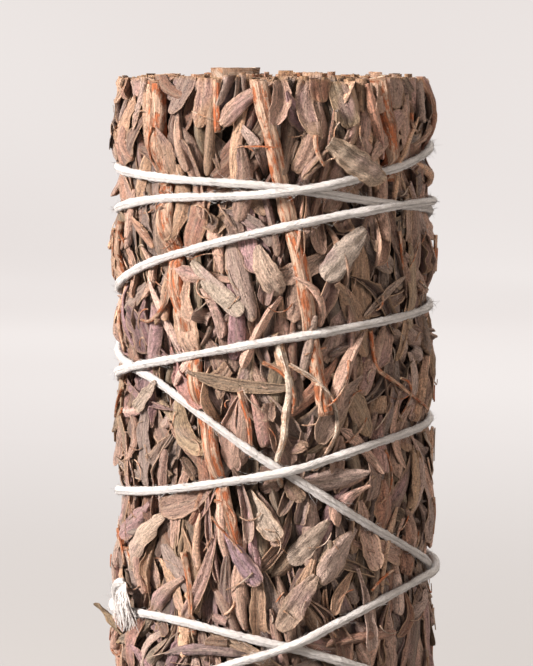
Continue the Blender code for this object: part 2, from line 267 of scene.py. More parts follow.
def leaf_outline(leaf, t):
    """Half the leaf's width at t, as a share of half its full width."""
    rise = np.sin(0.5 * math.pi * np.clip(t / leaf["widest"], 0, 1)) ** leaf["neck"]
    fall = np.clip((t - leaf["widest"]) / (1 - leaf["widest"]), 0, 1)
    tip = leaf["tip"] + (1 - leaf["tip"]) * (1 - fall ** leaf["blunt"]) ** 0.5
    return (leaf["stalk"] + (1 - leaf["stalk"]) * rise) * tip


def leaf_sheet(leaf, t, side):
    """Along, across and out, in millimetres, for the middle of the leaf's thickness."""
    half = leaf["width"] / 2 * leaf_outline(leaf, t)
    teeth = leaf["ragged"] * side * np.sin(9 * t + leaf["phase"])
    half = half * (1 + teeth * np.cos(21 * t + 2 * leaf["phase"]))
    roll = leaf["roll"] * (0.75 + 0.5 * np.sin(2.6 * t + leaf["phase"]))
    roll = np.maximum(roll, 0.05)
    across = half * np.sin(side * roll) / roll
    out = -leaf["facing"] * half * (1 - np.cos(side * roll)) / roll
    if leaf["fold"] > 0.3:
        fold = leaf["fold"] * (0.8 + 0.3 * np.cos(3 * t + leaf["phase"]))
        crease = np.sqrt(side * side + 0.02) - 0.14
        across, out = across * np.cos(fold), out - leaf["facing"] * crease * half * np.sin(fold)
    furrow = np.cos(leaf["ridges"] * math.pi * side + 1.5 * t + leaf["phase"]) * np.clip(half / 0.8, 0, 1)
    fold_marks = np.sin(17 * t + 3 * side + leaf["phase"]) * np.sin(7 * t - 4 * side + 2 * leaf["phase"])
    out = out + leaf["ridged"] * furrow + leaf["crumple"] * fold_marks
    out = out + leaf["flutter"] * half * side * side * np.sin(leaf["waves"] * 6.28 * t + leaf["phase"])
    turn = leaf["twist"] * (t - 0.5)
    across, out = (across * np.cos(turn) - out * np.sin(turn), across * np.sin(turn) + out * np.cos(turn))
    bow = (2 * t - 1) ** 2
    across = across + leaf["sweep"] * leaf["length"] * bow
    out = out - leaf["arch"] * leaf["length"] * bow
    scallop = leaf["notch"] * np.clip((t - 0.8) * 5, 0, 1) * (1 + np.cos(6.28 * 1.5 * side))
    along = (t - scallop) * leaf["length"] + 0 * across
    return along, across, out


print("kinds of leaf:", ", ".join(LEAF_KINDS))

# %% [markdown]
# ## Laying a leaf
# `spread` turns a leaf on the unrolled surface: a heading of 0 points its tip straight down.  `settle`
# presses it onto the heap: it looks at what lies under the leaf, bends the leaf to a smooth curve over
# that, leans it sideways a little, and pushes it down wherever it would pass the ceiling.

# %% Laying and settling
FINE_T = np.linspace(0.0, 1.0, 34)[:, None]
FINE_SIDE = np.linspace(-1.0, 1.0, 13)[None, :]
COARSE_T = np.linspace(0.08, 0.92, 6)[:, None]
COARSE_SIDE = np.array([-0.7, 0.0, 0.7])[None, :]
AVOIDS_TAKEN = 7.0               # how strongly later leaves keep off places that are taken
taken = np.zeros((ROWS, COLUMNS), bool)


def spread(leaf, s, z, heading, along, across):
    """The unrolled places of a leaf's points, for its middle at s, z."""
    way_s, way_z = math.sin(heading), -math.cos(heading)
    along = along - leaf["length"] / 2
    return s + along * way_s + across * way_z * -1, z + along * way_z + across * way_s


def settle(leaf, s, z, heading, press=0.72):
    """Presses the leaf onto the heap and returns it laid, with its rise at each t and its sideways lean."""
    along, across, out = leaf_sheet(leaf, FINE_T, FINE_SIDE)
    at_s, at_z = spread(leaf, s, z, heading, along, across)
    place = cells(at_s, at_z)
    under, top = heap[place], ceiling[place]
    need = under - (out - leaf["thick"] / 2)
    side_need = np.quantile(need[:, 8:], press) - np.quantile(need[:, :5], press)
    lean = float(np.clip(side_need / max(leaf["width"] * 0.7, 0.5), -0.3, 0.3))
    out = out + lean * across
    need = under - (out - leaf["thick"] / 2)
    wanted = np.quantile(need, press, axis=1)
    basis = np.hstack([np.ones_like(FINE_T), FINE_T, FINE_T**2])
    curve = basis @ np.linalg.lstsq(basis, wanted, rcond=None)[0]
    curve = curve + max(0.0, np.quantile(wanted - curve, press))
    room = np.quantile(top - leaf["thick"] / 2 - (curve[:, None] + out), 0.12, axis=1)
    down = running_mean(np.minimum(room, 0.0), np.array([1, 2, 3, 4, 3, 2, 1.0]) / 16)
    rise = curve + down
    surface = rise[:, None] + out + leaf["thick"] / 2
    inside = (at_z > BOTTOM) & (at_z < TOP)
    rows, columns = place[0][inside], place[1][inside]
    np.maximum.at(heap, (rows, columns), np.minimum(surface, top + 0.3)[inside])
    leaf.update(s=s, z=z, heading=heading, rise=rise, lean=lean)
    return leaf


def lowest_spot(leaf, tries, spread_of_heading, shallow):
    """Of some random places for the leaf's middle, the one where the heap is lowest under its ceiling."""
    s = draw.uniform(-ROUND / 2, ROUND / 2, tries)
    z = draw.uniform(BOTTOM - 1.5, TOP + 1.5, tries)
    askew = draw.choice([0.7, 2.1], p=[0.62, 0.38])
    heading = draw.normal(0, spread_of_heading * askew, tries) + 0.10 * np.sin(3 * s / ROLL + z / 17)
    if leaf["kind"] == "bit" or draw.random() < 0.05:
        heading = heading + draw.uniform(-1.3, 1.3, tries)
    along, across, _ = leaf_sheet(leaf, COARSE_T, COARSE_SIDE)
    along = along - leaf["length"] / 2
    way_s, way_z = np.sin(heading)[:, None, None], -np.cos(heading)[:, None, None]
    at_s = s[:, None, None] + along * way_s - across * way_z
    at_z = z[:, None, None] + along * way_z + across * way_s
    place = cells(at_s, at_z)
    score = np.mean(heap[place] - ceiling[place], axis=(1, 2))
    score = score + AVOIDS_TAKEN * np.mean(taken[place], axis=(1, 2))
    best = int(np.argmin(score))
    return (s[best], z[best], heading[best]) if score[best] < -shallow else None


print("leaf samples", FINE_T.size * FINE_SIDE.size)

# %% [markdown]
# ## Meshing the leaves
# Each leaf becomes a thin closed shell: an upper and a lower sheet joined by a rim.  Leaves of one sprig
# share a mesh.  Every point carries three notes for the materials: where it is on its own leaf (`place`),
# its colour (`tint`), and how near it is to the rim, the rib and a sawn end (`form`).

# %% A basket that gathers shells into one mesh
class Basket:
    """Points, faces and notes of one piece."""

    def __init__(self):
        self.points, self.quads, self.place, self.tint, self.form = [], [], [], [], []
        self.count = 0

    def add(self, points, quads, place, tint, form):
        self.points.append(points)
        self.quads.append(quads + self.count)
        self.place.append(place)
        self.tint.append(np.broadcast_to(tint, points.shape))
        self.form.append(form)
        self.count += len(points)

    def piece(self, name, finish, stands_for=(), slot=None, crease=60):
        """Makes the mesh object, lets it ride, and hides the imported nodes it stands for."""
        mesh = bpy.data.meshes.new(name)
        mesh.from_pydata((np.concatenate(self.points) * MM).tolist(), [], np.concatenate(self.quads).tolist())
        for label, kind, field, values in (
            ("place", "FLOAT_VECTOR", "vector", self.place),
            ("tint", "FLOAT_COLOR", "color", self.tint),
            ("form", "FLOAT_VECTOR", "vector", self.form),
        ):
            values = np.concatenate(values)
            if kind == "FLOAT_COLOR":
                values = np.hstack([values, np.ones((len(values), 1))])
            mesh.attributes.new(label, kind, "POINT").data.foreach_set(field, values.ravel())
        mesh.materials.append(finish)
        mesh.polygons.foreach_set("use_smooth", np.ones(len(mesh.polygons), bool))
        mesh.set_sharp_from_angle(angle=math.radians(crease))
        piece = bpy.data.objects.new(name, mesh)
        bpy.context.scene.collection.objects.link(piece)
        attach(piece, "root")
        if stands_for:
            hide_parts(*stands_for)
        return piece


def tube_walls(rows, around):
    """The quads of an open tube: rows of points, each row going round."""
    i, j = np.meshgrid(np.arange(rows - 1), np.arange(around), indexing="ij")
    a, b = (i * around + j).ravel(), (i * around + (j + 1) % around).ravel()
    return np.stack([a, b, b + around, a + around], axis=1)


def lid_quads(around):
    """The quads that close a ring of points, rung by rung from one side to the other."""
    k = np.arange(around // 2 - 1)
    return np.stack([k, k + 1, around - 2 - k, around - 1 - k], axis=1)


def notes(*parts):
    """Three notes for each point, from arrays and numbers that spread over the same grid."""
    return np.stack(np.broadcast_arrays(*parts), axis=-1).reshape(-1, 3)


def sheet_quads(rows, columns):
    """The quads of a closed shell: an upper grid, a lower grid after it, and the rim between them."""
    i, j = np.meshgrid(np.arange(rows - 1), np.arange(columns - 1), indexing="ij")
    a = (i * columns + j).ravel()
    upper = np.stack([a, a + columns, a + columns + 1, a + 1], axis=1)
    below = rows * columns
    lower = upper[:, ::-1] + below
    edge = np.concatenate([
        np.arange(columns - 1), np.arange(rows - 1) * columns + columns - 1,
        (rows - 1) * columns + np.arange(columns - 1, 0, -1), np.arange(rows - 1, 0, -1) * columns])
    following = np.roll(edge, -1)
    rim = np.stack([edge, following, following + below, edge + below], axis=1)
    return np.concatenate([upper, lower, rim])


SAWN_EDGE = 0.4                  # how far from the cut a leaf still shows raw


def mesh_leaf(leaf, basket, rows, columns):
    """Adds a settled leaf to a basket, sawn off where it passes an end of the bunch."""
    t = 1 - (1 - np.linspace(0.0, 1.0, rows)[:, None]) ** 1.4
    side = np.sin(np.linspace(-math.pi / 2, math.pi / 2, columns))[None, :]
    side = 0.35 * side + 0.65 * np.linspace(-1, 1, columns)[None, :]
    fall = math.cos(leaf["heading"])
    saw = np.zeros((rows, columns))
    if abs(fall) > 0.35:
        middle = leaf["z"] + leaf["length"] / 2 * fall
        slant = leaf["width"] * 0.35 * side * math.sin(leaf["heading"])
        reach = leaf["length"] * fall
        high = (middle + slant - leaf["sawn_top"]) / reach
        low = (middle + slant - leaf["sawn_bottom"]) / reach
        first, last = (high, low) if fall > 0 else (low, high)
        first, last = np.clip(first, 0, 0.9), np.clip(last, 0.1, 1)
        if np.any(last - first < 0.08):
            return
        t = first + (last - first) * t
        if (first > 0.002).any():
            saw = np.maximum(saw, np.clip(1 - (t - first) * leaf["length"] / SAWN_EDGE, 0, 1))
        if (last < 0.998).any():
            saw = np.maximum(saw, np.clip(1 - (last - t) * leaf["length"] / SAWN_EDGE, 0, 1))
    elif not BOTTOM + 1 < leaf["z"] < TOP - 1:
        return
    along, across, out = leaf_sheet(leaf, t, side)
    half = leaf["width"] / 2 * leaf_outline(leaf, t)
    run = np.gradient(out, axis=1), np.gradient(across, axis=1)
    size = np.maximum(np.hypot(*run), 1e-6)
    normal_out, normal_across = run[1] / size, -run[0] / size
    thin = leaf["thick"] / 2 * (0.3 + 0.7 * (1 - side**4)) * np.clip(half / 0.4, 0.3, 1)
    sheets = []
    for way in (1, -1):
        level = out + way * thin * normal_out + leaf["lean"] * across
        sideways = across + way * thin * normal_across
        at_s, at_z = spread(leaf, leaf["s"], leaf["z"], leaf["heading"], along, sideways)
        rise = np.interp(t, FINE_T[:, 0], leaf["rise"]) + leaf["lift"] * np.abs(t - 0.15)
        radius = np.maximum(rise + level, 3.0)
        at_z = np.clip(at_z, BOTTOM + 0.02, leaf["sawn_top"])
        sheets.append(rolled(at_s, at_z, radius).reshape(-1, 3))
    rim = np.maximum(np.abs(side) ** 6, np.clip((t - 0.93) / 0.07, 0, 1)) * leaf["pale_rim"]
    form = notes(rim, np.exp(-((side / 0.09) ** 2)), saw)
    place = notes(along, side * half, leaf["number"])
    both = (2, 1)
    quads = sheet_quads(rows, columns)
    basket.add(np.concatenate(sheets), quads, np.tile(place, both), leaf["tint"], np.tile(form, both))


print("a leaf of 13 by 9 points has", len(sheet_quads(13, 9)), "faces")

# %% [markdown]
# ## Colours of dried sage
# No two leaves match: most are taupe or grey, some yellow-tan, some browned, and a few carry the mauve that
# the plant's leaf tips turn.  Each leaf draws one colour and varies it.  The colour falls with depth in
# the heap: painted shade for the gaps between the leaves.

# %% Tints
LEAF_TINTS = {
    "taupe": (0.70, 0.42, 0.31),
    "grey": (0.635, 0.44, 0.362),
    "tan": (0.74, 0.44, 0.275),
    "brown": (0.46, 0.217, 0.137),
    "olive": (0.45, 0.307, 0.19),
    "mauve": (0.55, 0.305, 0.312),
}
LEAF_SHARES = [0.34, 0.23, 0.18, 0.12, 0.10, 0.03]
MAUVE = list(LEAF_TINTS).index("mauve")
BRIGHTEST = 0.83
MAUVE_SPOTS = [
    (-22.0, 66.0, 7.0), (-16.0, 41.0, 8.0), (-9.0, 70.0, 7.0), (14.0, 72.0, 6.0), (4.0, 43.0, 6.0),
    (-5.0, 34.0, 7.0), (-15.0, 30.0, 7.0), (44.0, 55.0, 9.0), (-52.0, 60.0, 9.0), (60.0, 30.0, 8.0),
]
# painted light: a paler patch of leaves on the side that faces the key lamp
PAINTED_LIGHT_SPOT = (-19.0, 43.0, 14.0)


def nearness(s, z, spot):
    """1 at the middle of a spot on the unrolled roll, falling away to 0 past its reach."""
    at_s, at_z, reach = spot
    return math.exp(-((shortest_way(s - at_s) / reach) ** 2) - ((z - at_z) / reach) ** 2)


def leaf_tint(s, z, depth):
    """A leaf's colour from where it lies, with painted light on the key lamp's side and painted shade by how
    deep it lies.
    """
    weights = np.array(LEAF_SHARES)
    for spot in MAUVE_SPOTS:
        weights[MAUVE] += 0.24 * nearness(s, z, spot)
    weights /= weights.sum()
    colours = np.array(list(LEAF_TINTS.values()))
    one = colours[draw.choice(len(colours), p=weights)]
    other = colours[draw.choice(len(colours), p=weights)]
    mixed = one + (other - one) * draw.uniform(0, 0.4)
    # painted shade: the brightness falls by up to two thirds with depth in the heap
    bright = min(1.24, draw.lognormal(0.02, 0.23)) * (1.0 - 0.66 * min(1.0, max(0.0, depth) / 2.2))
    # painted light: leaves near that spot are made up to 17% paler
    lit = mixed * bright * (1.0 + 0.17 * nearness(s, z, PAINTED_LIGHT_SPOT))
    return np.maximum(lit * min(1.0, BRIGHTEST / lit.max()), 0.02)


print("tints:", ", ".join(LEAF_TINTS))

# %% [markdown]
# ## Stems on the outside
# Four stems show on the outside.  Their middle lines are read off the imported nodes: each node is a tube of
# rings of eight points, so sorting the points by height and averaging them in eights gives the line.  The
# heap is raised along them, so that leaves laid later stop beside them.

# %% Stem lines
RING_OF = 8


def stem_line(name):
    """The middle line of a packed stem, top first, in millimetres, and its radius along it."""
    points = node_points(name)
    points = points[np.argsort(-points[:, 2])]
    rings = np.array_split(points, len(points) // RING_OF)
    middle = np.array([ring.mean(axis=0) for ring in rings])
    radius = [np.linalg.norm(ring - ring.mean(axis=0), axis=1).max() for ring in rings]
    return middle, np.array(radius)


def smooth_line(middle, radius, step):
    """Points about a step apart on a smooth curve through a line, with the radius there."""
    run = np.concatenate([[0], np.cumsum(np.linalg.norm(np.diff(middle, axis=0), axis=1))])
    at = np.linspace(0, run[-1], max(4, int(run[-1] / step)))
    return smooth_curve(run, middle, at), np.interp(at, run, radius), at


OUTSIDE_STEMS = ["outside_stem_left", "outside_stem_middle", "outside_stem_short", "outside_stem_edge"]
KEPT_CLEAR = dict(zip(OUTSIDE_STEMS, ([(66, 110), (45, 58)], [(76, 110)], [(0, 110)], [(0, 110)])))
outside_lines = {}
for name in OUTSIDE_STEMS:
    middle, radius = stem_line(name)
    if 0.5 < TOP - middle[0, 2] < 5.0:
        upward = middle[0] - middle[1]
        middle = np.vstack([middle[0] + upward * (TOP - 0.3 - middle[0, 2]) / upward[2], middle])
        radius = np.append(radius[0], radius)
    line, radius, run = smooth_line(middle, radius, 0.5)
    s, z, r = unrolled(line)
    row, column = cells(s, z)
    radius = radius * 0.84
    s = running_mean(s, np.ones(25) / 25, mode="reflect", reflect_type="odd")
    r = np.maximum(r, running_mean(ceiling[row, column] - 0.12, np.ones(9) / 9) - radius)
    outside_lines[name] = (rolled(s, z, r), radius, run)
    for place_s, place_z, place_r, size in zip(s, z, r, radius):
        across = np.arange(-size, size + 0.01, 0.15)
        hump = place_r + np.sqrt(np.maximum(size**2 - across**2, 0))
        spots = cells(place_s + across, np.full(len(across), place_z))
        np.maximum.at(heap, spots, hump)
        taken[spots] = any(low < place_z < high for low, high in KEPT_CLEAR[name])
print("outside stems:", {name: len(line[0]) for name, line in outside_lines.items()})

# %% [markdown]
# ## Leaves lying free
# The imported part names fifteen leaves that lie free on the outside.  Each is measured from its own node: on
# the unrolled surface, its longest direction is the leaf's heading, and its wide end is the tip.  They are
# laid before the last of the skin, so that a few later leaves tuck over their stalks.  Two lie over the
# string, so they wait until it is on.

# %% Measuring the free leaves
LOOSE = {
    "folded": dict(kind="folded", tint=(0.55, 0.40, 0.29), fold=0.5, roll=0.4, facing=1.0, pale_rim=1.0,
                   crumple=0.2, ridged=0.08, stalk=0.45, lift=0.7),
    "pale": dict(tint=(0.55, 0.43, 0.35), roll=0.3),
    "diagonal": dict(tint=(0.51, 0.39, 0.30), roll=0.5),
    "square": dict(tint=(0.51, 0.35, 0.26), roll=0.35),
    "over_string": dict(tint=(0.46, 0.34, 0.26), roll=0.5),
    "cream": dict(tint=(0.61, 0.43, 0.32), roll=0.6, facing=1.0),
    "curled": dict(kind="rolled", tint=(0.36, 0.23, 0.12), roll=1.1, lift=5.6, shift=(1.0, 4.3), heading=3.0),
    "flap": dict(tint=(0.44, 0.33, 0.26), roll=0.5),
    "low_left": dict(tint=(0.52, 0.39, 0.30), roll=0.5),
    "low_right": dict(tint=(0.48, 0.35, 0.27), roll=0.6),
    "mauve": dict(kind="rolled", tint=(0.38, 0.23, 0.25), roll=1.3, ridged=0.12),
    "broad": dict(tint=(0.51, 0.35, 0.26), roll=0.5),
}


def measure_leaf(name):
    """Where a packed leaf's middle is, its heading, and its length and width."""
    points = node_points(name)
    middle = points.mean(axis=0)
    turned = math.atan2(middle[0], -middle[1])
    s, z, _ = unrolled(points)
    s = shortest_way(s - turned * ROLL)
    flat = np.stack([s - s.mean(), z - z.mean()], axis=1)
    _, _, ways = np.linalg.svd(flat, full_matrices=False)
    along, across = flat @ ways[0], flat @ ways[1]
    if np.abs(across[along > 0]).mean() < np.abs(across[along < 0]).mean():
        ways[0] = -ways[0]
    heading = math.atan2(ways[0][0], -ways[0][1])
    return turned * ROLL, z.mean(), heading, np.ptp(along), np.ptp(across)


OVER_THE_STRING = ["loose_leaf_folded", "loose_leaf_over_string"]
free = {}


def lay_free_leaf(name, press):
    """Lays one of the part's free leaves where its node is and keeps its own mesh."""
    s, z, heading, length, width = measure_leaf(name)
    wish = dict(LOOSE.get(name.removeprefix("loose_leaf_"), {}))
    shift = wish.pop("shift", (0.0, 0.0))
    s, z = s + shift[0], z + shift[1]
    heading = wish.pop("heading", heading)
    leaf = new_leaf(wish.pop("kind", "broad"))
    leaf.update(length=length * 1.05, width=width * 0.94, thick=0.2)
    leaf.update(notch=0.0, sweep=0.02, arch=0.0, ragged=0.07)
    leaf.update(tint=leaf_tint(s, z, 0.0), crumple=0.10, ridged=0.04, neck=0.9, stalk=0.3)
    leaf.update(wish)
    leaf["tint"] = np.array(leaf["tint"], float)
    settle(saw_leaf(leaf), s, z, heading, press)
    free[name] = Basket()
    mesh_leaf(leaf, free[name], rows=33, columns=15)
    along, across, _ = leaf_sheet(leaf, FINE_T[14:], FINE_SIDE)
    taken[cells(*spread(leaf, s, z, heading, along, across))] = True


print("free leaves:", sum(name.startswith("loose_leaf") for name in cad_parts))

# %% [markdown]
# ## The leaves of the outer sprigs
# Three layers are laid.  The first two are coarse and dark with painted shade: they are what shows between the
# leaves on top.
# The last layer is the skin of the bunch, with fine meshes.  Each leaf goes to the lowest of a few
# spots tried, which fills the hollows first, as pressing does.

# %% Laying the layers
OUTER_SPRIGS = 12
FIRST_SPRIG = -42.0
LAYERS = [
    dict(leaves=800, below=2.1, rows=7, columns=4, tries=5, size=1.05, swing=0.16,
         kinds=(0.5, 0.2, 0.2, 0.1, 0.0)),
    dict(leaves=1100, below=1.0, rows=9, columns=5, tries=8, size=1.0, swing=0.2,
         kinds=(0.25, 0.35, 0.1, 0.25, 0.05)),
    dict(leaves=1800, below=0.0, rows=15, columns=11, tries=12, size=0.95, swing=0.37,
         kinds=(0.15, 0.29, 0.14, 0.28, 0.14)),
]
FREE_LEAVES_AT = 0.72            # the share of the last layer after which the free leaves are laid
outer = [Basket() for _ in range(OUTER_SPRIGS)]


def sprig_at(s):
    """The number of the outer sprig that a place belongs to."""
    return int(((math.degrees(s / ROLL) - FIRST_SPRIG + 180 / OUTER_SPRIGS) % 360) // (360 / OUTER_SPRIGS))


def saw_leaf(leaf):
    """Where the saw cut this leaf at each end: nearly level, with a few left proud."""
    proud = draw.uniform(0.2, 0.7) if draw.random() < 0.06 else 0.0
    leaf["sawn_top"] = TOP - 0.15 + draw.normal(0, 0.26) + proud
    leaf["sawn_bottom"] = BOTTOM + abs(draw.normal(0, 0.12))
    return leaf


laid = []
full_ceiling = ceiling
for layer in LAYERS:
    ceiling = full_ceiling - layer["below"]
    kinds = list(LEAF_KINDS)
    for turn in range(layer["leaves"]):
        if layer is LAYERS[-1] and turn == int(FREE_LEAVES_AT * layer["leaves"]):
            for name in sorted(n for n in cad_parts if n.startswith("loose_leaf")):
                if name not in OVER_THE_STRING:
                    lay_free_leaf(name, 0.8)
        leaf = new_leaf(kinds[draw.choice(len(kinds), p=layer["kinds"])], layer["size"])
        spot = lowest_spot(leaf, layer["tries"], layer["swing"], 0.1)
        if spot is None:
            continue
        settle(saw_leaf(leaf), *spot)
        row, column = cells(np.array([leaf["s"]]), np.array([leaf["z"]]))
        # painted shade: the tint darkens with the depth under the ceiling, and more in the lower layers
        depth = full_ceiling[row, column][0] - heap[row, column][0]
        leaf["tint"] = leaf_tint(leaf["s"], leaf["z"], depth + layer["below"] * 0.4)
        mesh_leaf(leaf, outer[sprig_at(leaf["s"])], layer["rows"], layer["columns"])
        laid.append(leaf)
ceiling = full_ceiling
print("leaves laid:", len(laid), "faces:", sum(len(q) for basket in outer for q in basket.quads))

# %% [markdown]
# ## Finishes
# All the finishes are node materials.  The leaf finish reads each leaf's own notes: fine veins run along
# it, a grain of short hairs covers it, the rim is paler and the sawn ends are raw orange-tan.  Painted light
# and shade follow its veins, wrinkles and creases.

# %% A node material
class Finish:
    """A new node material.  Each helper adds one node and gives its output."""

    def __init__(self, name):
        self.material = bpy.data.materials.new(name)
        self.material.use_nodes = True
        self.tree = self.material.node_tree

    def fill(self, made, values):
        """Sets inputs to values, or links them to another node's output."""
        for key, value in values.items():
            if isinstance(value, bpy.types.NodeSocket):
                self.tree.links.new(value, made.inputs[key])
            else:
                is_colour = made.inputs[key].type == "RGBA"
                made.inputs[key].default_value = (*value, 1) if is_colour else value

    def node(self, kind, values=None, **settings):
        made = self.tree.nodes.new("ShaderNode" + kind)
        for key, value in settings.items():
            setattr(made, key, value)
        self.fill(made, values or {})
        return made.outputs

    def note(self, label, output="Vector"):
        """Reads one of the notes that the points carry."""
        return self.node("Attribute", attribute_name=label)[output]

    def noise(self, vector, scale, detail=3.0, rough=0.55):
        values = {"Vector": vector, "Scale": scale, "Detail": detail, "Roughness": rough}
        return self.node("TexNoise", values)["Fac"]

    def stretched(self, vector, by, detail=3.0, rough=0.55):
        """Noise with a pace of its own along each axis."""
        paced = self.node("VectorMath", {0: vector, 1: by}, operation="MULTIPLY")[0]
        return self.noise(paced, 1.0, detail, rough)

    def ranged(self, value, low, high, to_low=0.0, to_high=1.0):
        return self.node("MapRange", {0: value, 1: low, 2: high, 3: to_low, 4: to_high})[0]

    def maths(self, kind, a, b=0.0):
        return self.node("Math", {0: a, 1: b}, operation=kind)[0]

    def times(self, a, b):
        return self.maths("MULTIPLY", a, b)

    def blend(self, share, a, b, kind="MIX"):
        """Mixes two colours."""
        return self.node("Mix", {0: share, 6: a, 7: b}, data_type="RGBA", blend_type=kind)[2]

    def lit(self, colour, light):
        return self.node("VectorMath", {0: colour, 3: light}, operation="SCALE")[0]

    def split(self, vector):
        return self.node("SeparateXYZ", {0: vector})

    def bump(self, height, strength, distance, after=None):
        values = {"Height": height, "Strength": strength, "Distance": distance}
        if after is not None:
            values["Normal"] = after
        return self.node("Bump", values)["Normal"]

    def done(self, **values):
        """Fills the shader's inputs and gives the material."""
        shader = self.tree.nodes["Principled BSDF"]
        self.fill(shader, {key.replace("_", " "): value for key, value in values.items()})
        return self.material


# %% Dry sage leaf
def leaf_finish(name, shade=1.0):
    make = Finish(name)
    place, tint = make.note("place"), make.note("tint", "Color")
    edge, rib, cut = make.split(make.note("form"))
    veins = make.stretched(place, (0.27, 4.6, 7.3), 4.0, 0.6)
    wrinkles = make.stretched(place, (0.75, 1.9, 3.1), 4.0, 0.6)
    grain = make.stretched(place, (3.4, 4.5, 2.3), 4.0, 0.7)
    # painted light and shade: the colour is lifted and darkened along the vein ridges and wrinkles, the same
    # noises as the bumps; the grain adds speckle
    light = make.times(make.ranged(veins, 0.32, 0.68, 0.74 * shade, 1.22 * shade),
                       make.ranged(grain, 0.3, 0.7, 0.48, 1.48))
    light = make.times(light, make.ranged(wrinkles, 0.3, 0.7, 0.76, 1.18))
    lines = make.stretched(place, (0.16, 1.7, 4.1), 2.0, 0.5)
    # painted shade: the colour darkens to half in the fine creases, where the furrow bump runs
    crease = make.ranged(make.maths("ABSOLUTE", make.maths("SUBTRACT", lines, 0.5)), 0.003, 0.016)
    light = make.times(light, make.ranged(crease, 0, 1, 0.48, 1.0))
    tinge = make.ranged(make.stretched(place, (0.11, 0.2, 5.3), 2.0), 0.57, 0.68, 0.0, 0.38)
    lit = make.lit(make.blend(tinge, tint, (0.46, 0.26, 0.285)), light)
    pale = make.blend(make.times(edge, 0.5), lit, (0.66 * shade, 0.42 * shade, 0.25 * shade))
    ribbed = make.blend(make.times(rib, 0.22), pale, (0.50 * shade, 0.40 * shade, 0.29 * shade))
    blotch = make.ranged(make.stretched(place, (0.9, 1.1, 5.7), 2.0), 0.66, 0.74, 0.0, 0.5)
    spotted = make.blend(blotch, ribbed, (0.13, 0.085, 0.06))
    raw = make.blend(make.ranged(grain, 0.35, 0.65), (0.36, 0.155, 0.055), (0.60, 0.37, 0.19))
    cut = make.times(cut, make.ranged(wrinkles, 0.35, 0.65, 0.2, 0.8))
    furrows = make.bump(crease, 0.8, 0.00012)
    ridges = make.bump(veins, 0.9, 0.0004, furrows)
    crumple = make.bump(wrinkles, 0.8, 0.0006, ridges)
    return make.done(
        Base_Color=make.blend(cut, spotted, raw), Roughness=make.ranged(grain, 0.3, 0.7, 0.8, 0.97),
        Normal=make.bump(grain, 1.0, 0.0005, crumple), Specular_IOR_Level=0.25,
        Sheen_Weight=0.12, Sheen_Roughness=0.6)


leaf_look = leaf_finish("dry_sage_leaf")
# painted shade: the copy for the strips in the sawn ends is darker
inner_look = leaf_finish("dry_sage_leaf_inside", 0.9)
print("finishes:", leaf_look.name, inner_look.name)

# %% [markdown]
# The heart of a sprig is what lies behind the last leaf one can see into: a nearly black backing, painted
# shade for the gaps between the leaves.

# %% Dark backing, painted shade
def shade_backing_finish():
    make = Finish("painted_shade_backing")
    backing_mottle = make.noise(make.node("TexCoord")["Object"], 1500.0, 4.0, 0.7)
    # painted shade: nearly black, for what shows deep in the gaps between the leaves
    colour = make.blend(make.ranged(backing_mottle, 0.35, 0.7), (0.030, 0.020, 0.014), (0.15, 0.105, 0.07))
    return make.done(Base_Color=colour, Normal=make.bump(backing_mottle, 0.9, 0.0004), Roughness=0.95,
                     Specular_IOR_Level=0.15)


shade_backing_look = shade_backing_finish()


def backing(inside, outside, from_angle, to_angle):
    """Points and quads of a slice of a ring that stands between the two ends, with an uneven outer face."""
    levels = np.linspace(BOTTOM + 3.0, TOP - 3.0, 34)
    s = np.radians(np.linspace(from_angle, to_angle, 9)) * ROLL
    rows = []
    for z in levels:
        rows.append(rolled(s, z, outside + draw.uniform(-0.35, 0.35, len(s))))
        rows.append(rolled(s[::-1], z, inside + 0 * s))
    around = 2 * len(s)
    lid = lid_quads(around)
    top = lid + (len(levels) - 1) * around
    return np.concatenate(rows), np.concatenate([tube_walls(len(levels), around), lid[:, ::-1], top])


def make_heart(name, *slices):
    """A piece of dark backing, painted shade, of one or more slices: inside, outside, from and to which angle.
    """
    heart = Basket()
    for one in slices:
        points, quads = backing(*one)
        heart.add(points, quads, points, np.ones(3), points * 0)
    heart.piece(name, shade_backing_look, slot="inner_leaves")


print("finish:", shade_backing_look.name)

# %% [markdown]
# ## The outer sprigs as pieces
# Each outer sprig is two pieces: its leaves, and the heart behind them, a dark backing of painted shade.

# %% Outer sprigs
HALF_SPRIG = 180 / OUTER_SPRIGS
INNER_RADIUS = 12.3              # where the inner sprigs end and the outer ones begin
for number, basket in enumerate(outer):
    label = f"sprig_outer_{number + 1:02d}"
    basket.piece(label + "_skin", leaf_look, [label + "_leaves"], "leaves")
    centre = FIRST_SPRIG + 2 * HALF_SPRIG * number
    make_heart(label + "_heart", (INNER_RADIUS, HEAP_STARTS - 0.2, centre - HALF_SPRIG, centre + HALF_SPRIG))
print("outer sprigs:", len(outer))

# %% [markdown]
# ## Bark and sawn wood
# The stems are thin red-brown twigs.  Where the pale skin has rubbed off, the bark is bright orange-red, and
# rings mark where leaves grew.  A sawn end is pale straw with a darker rim.

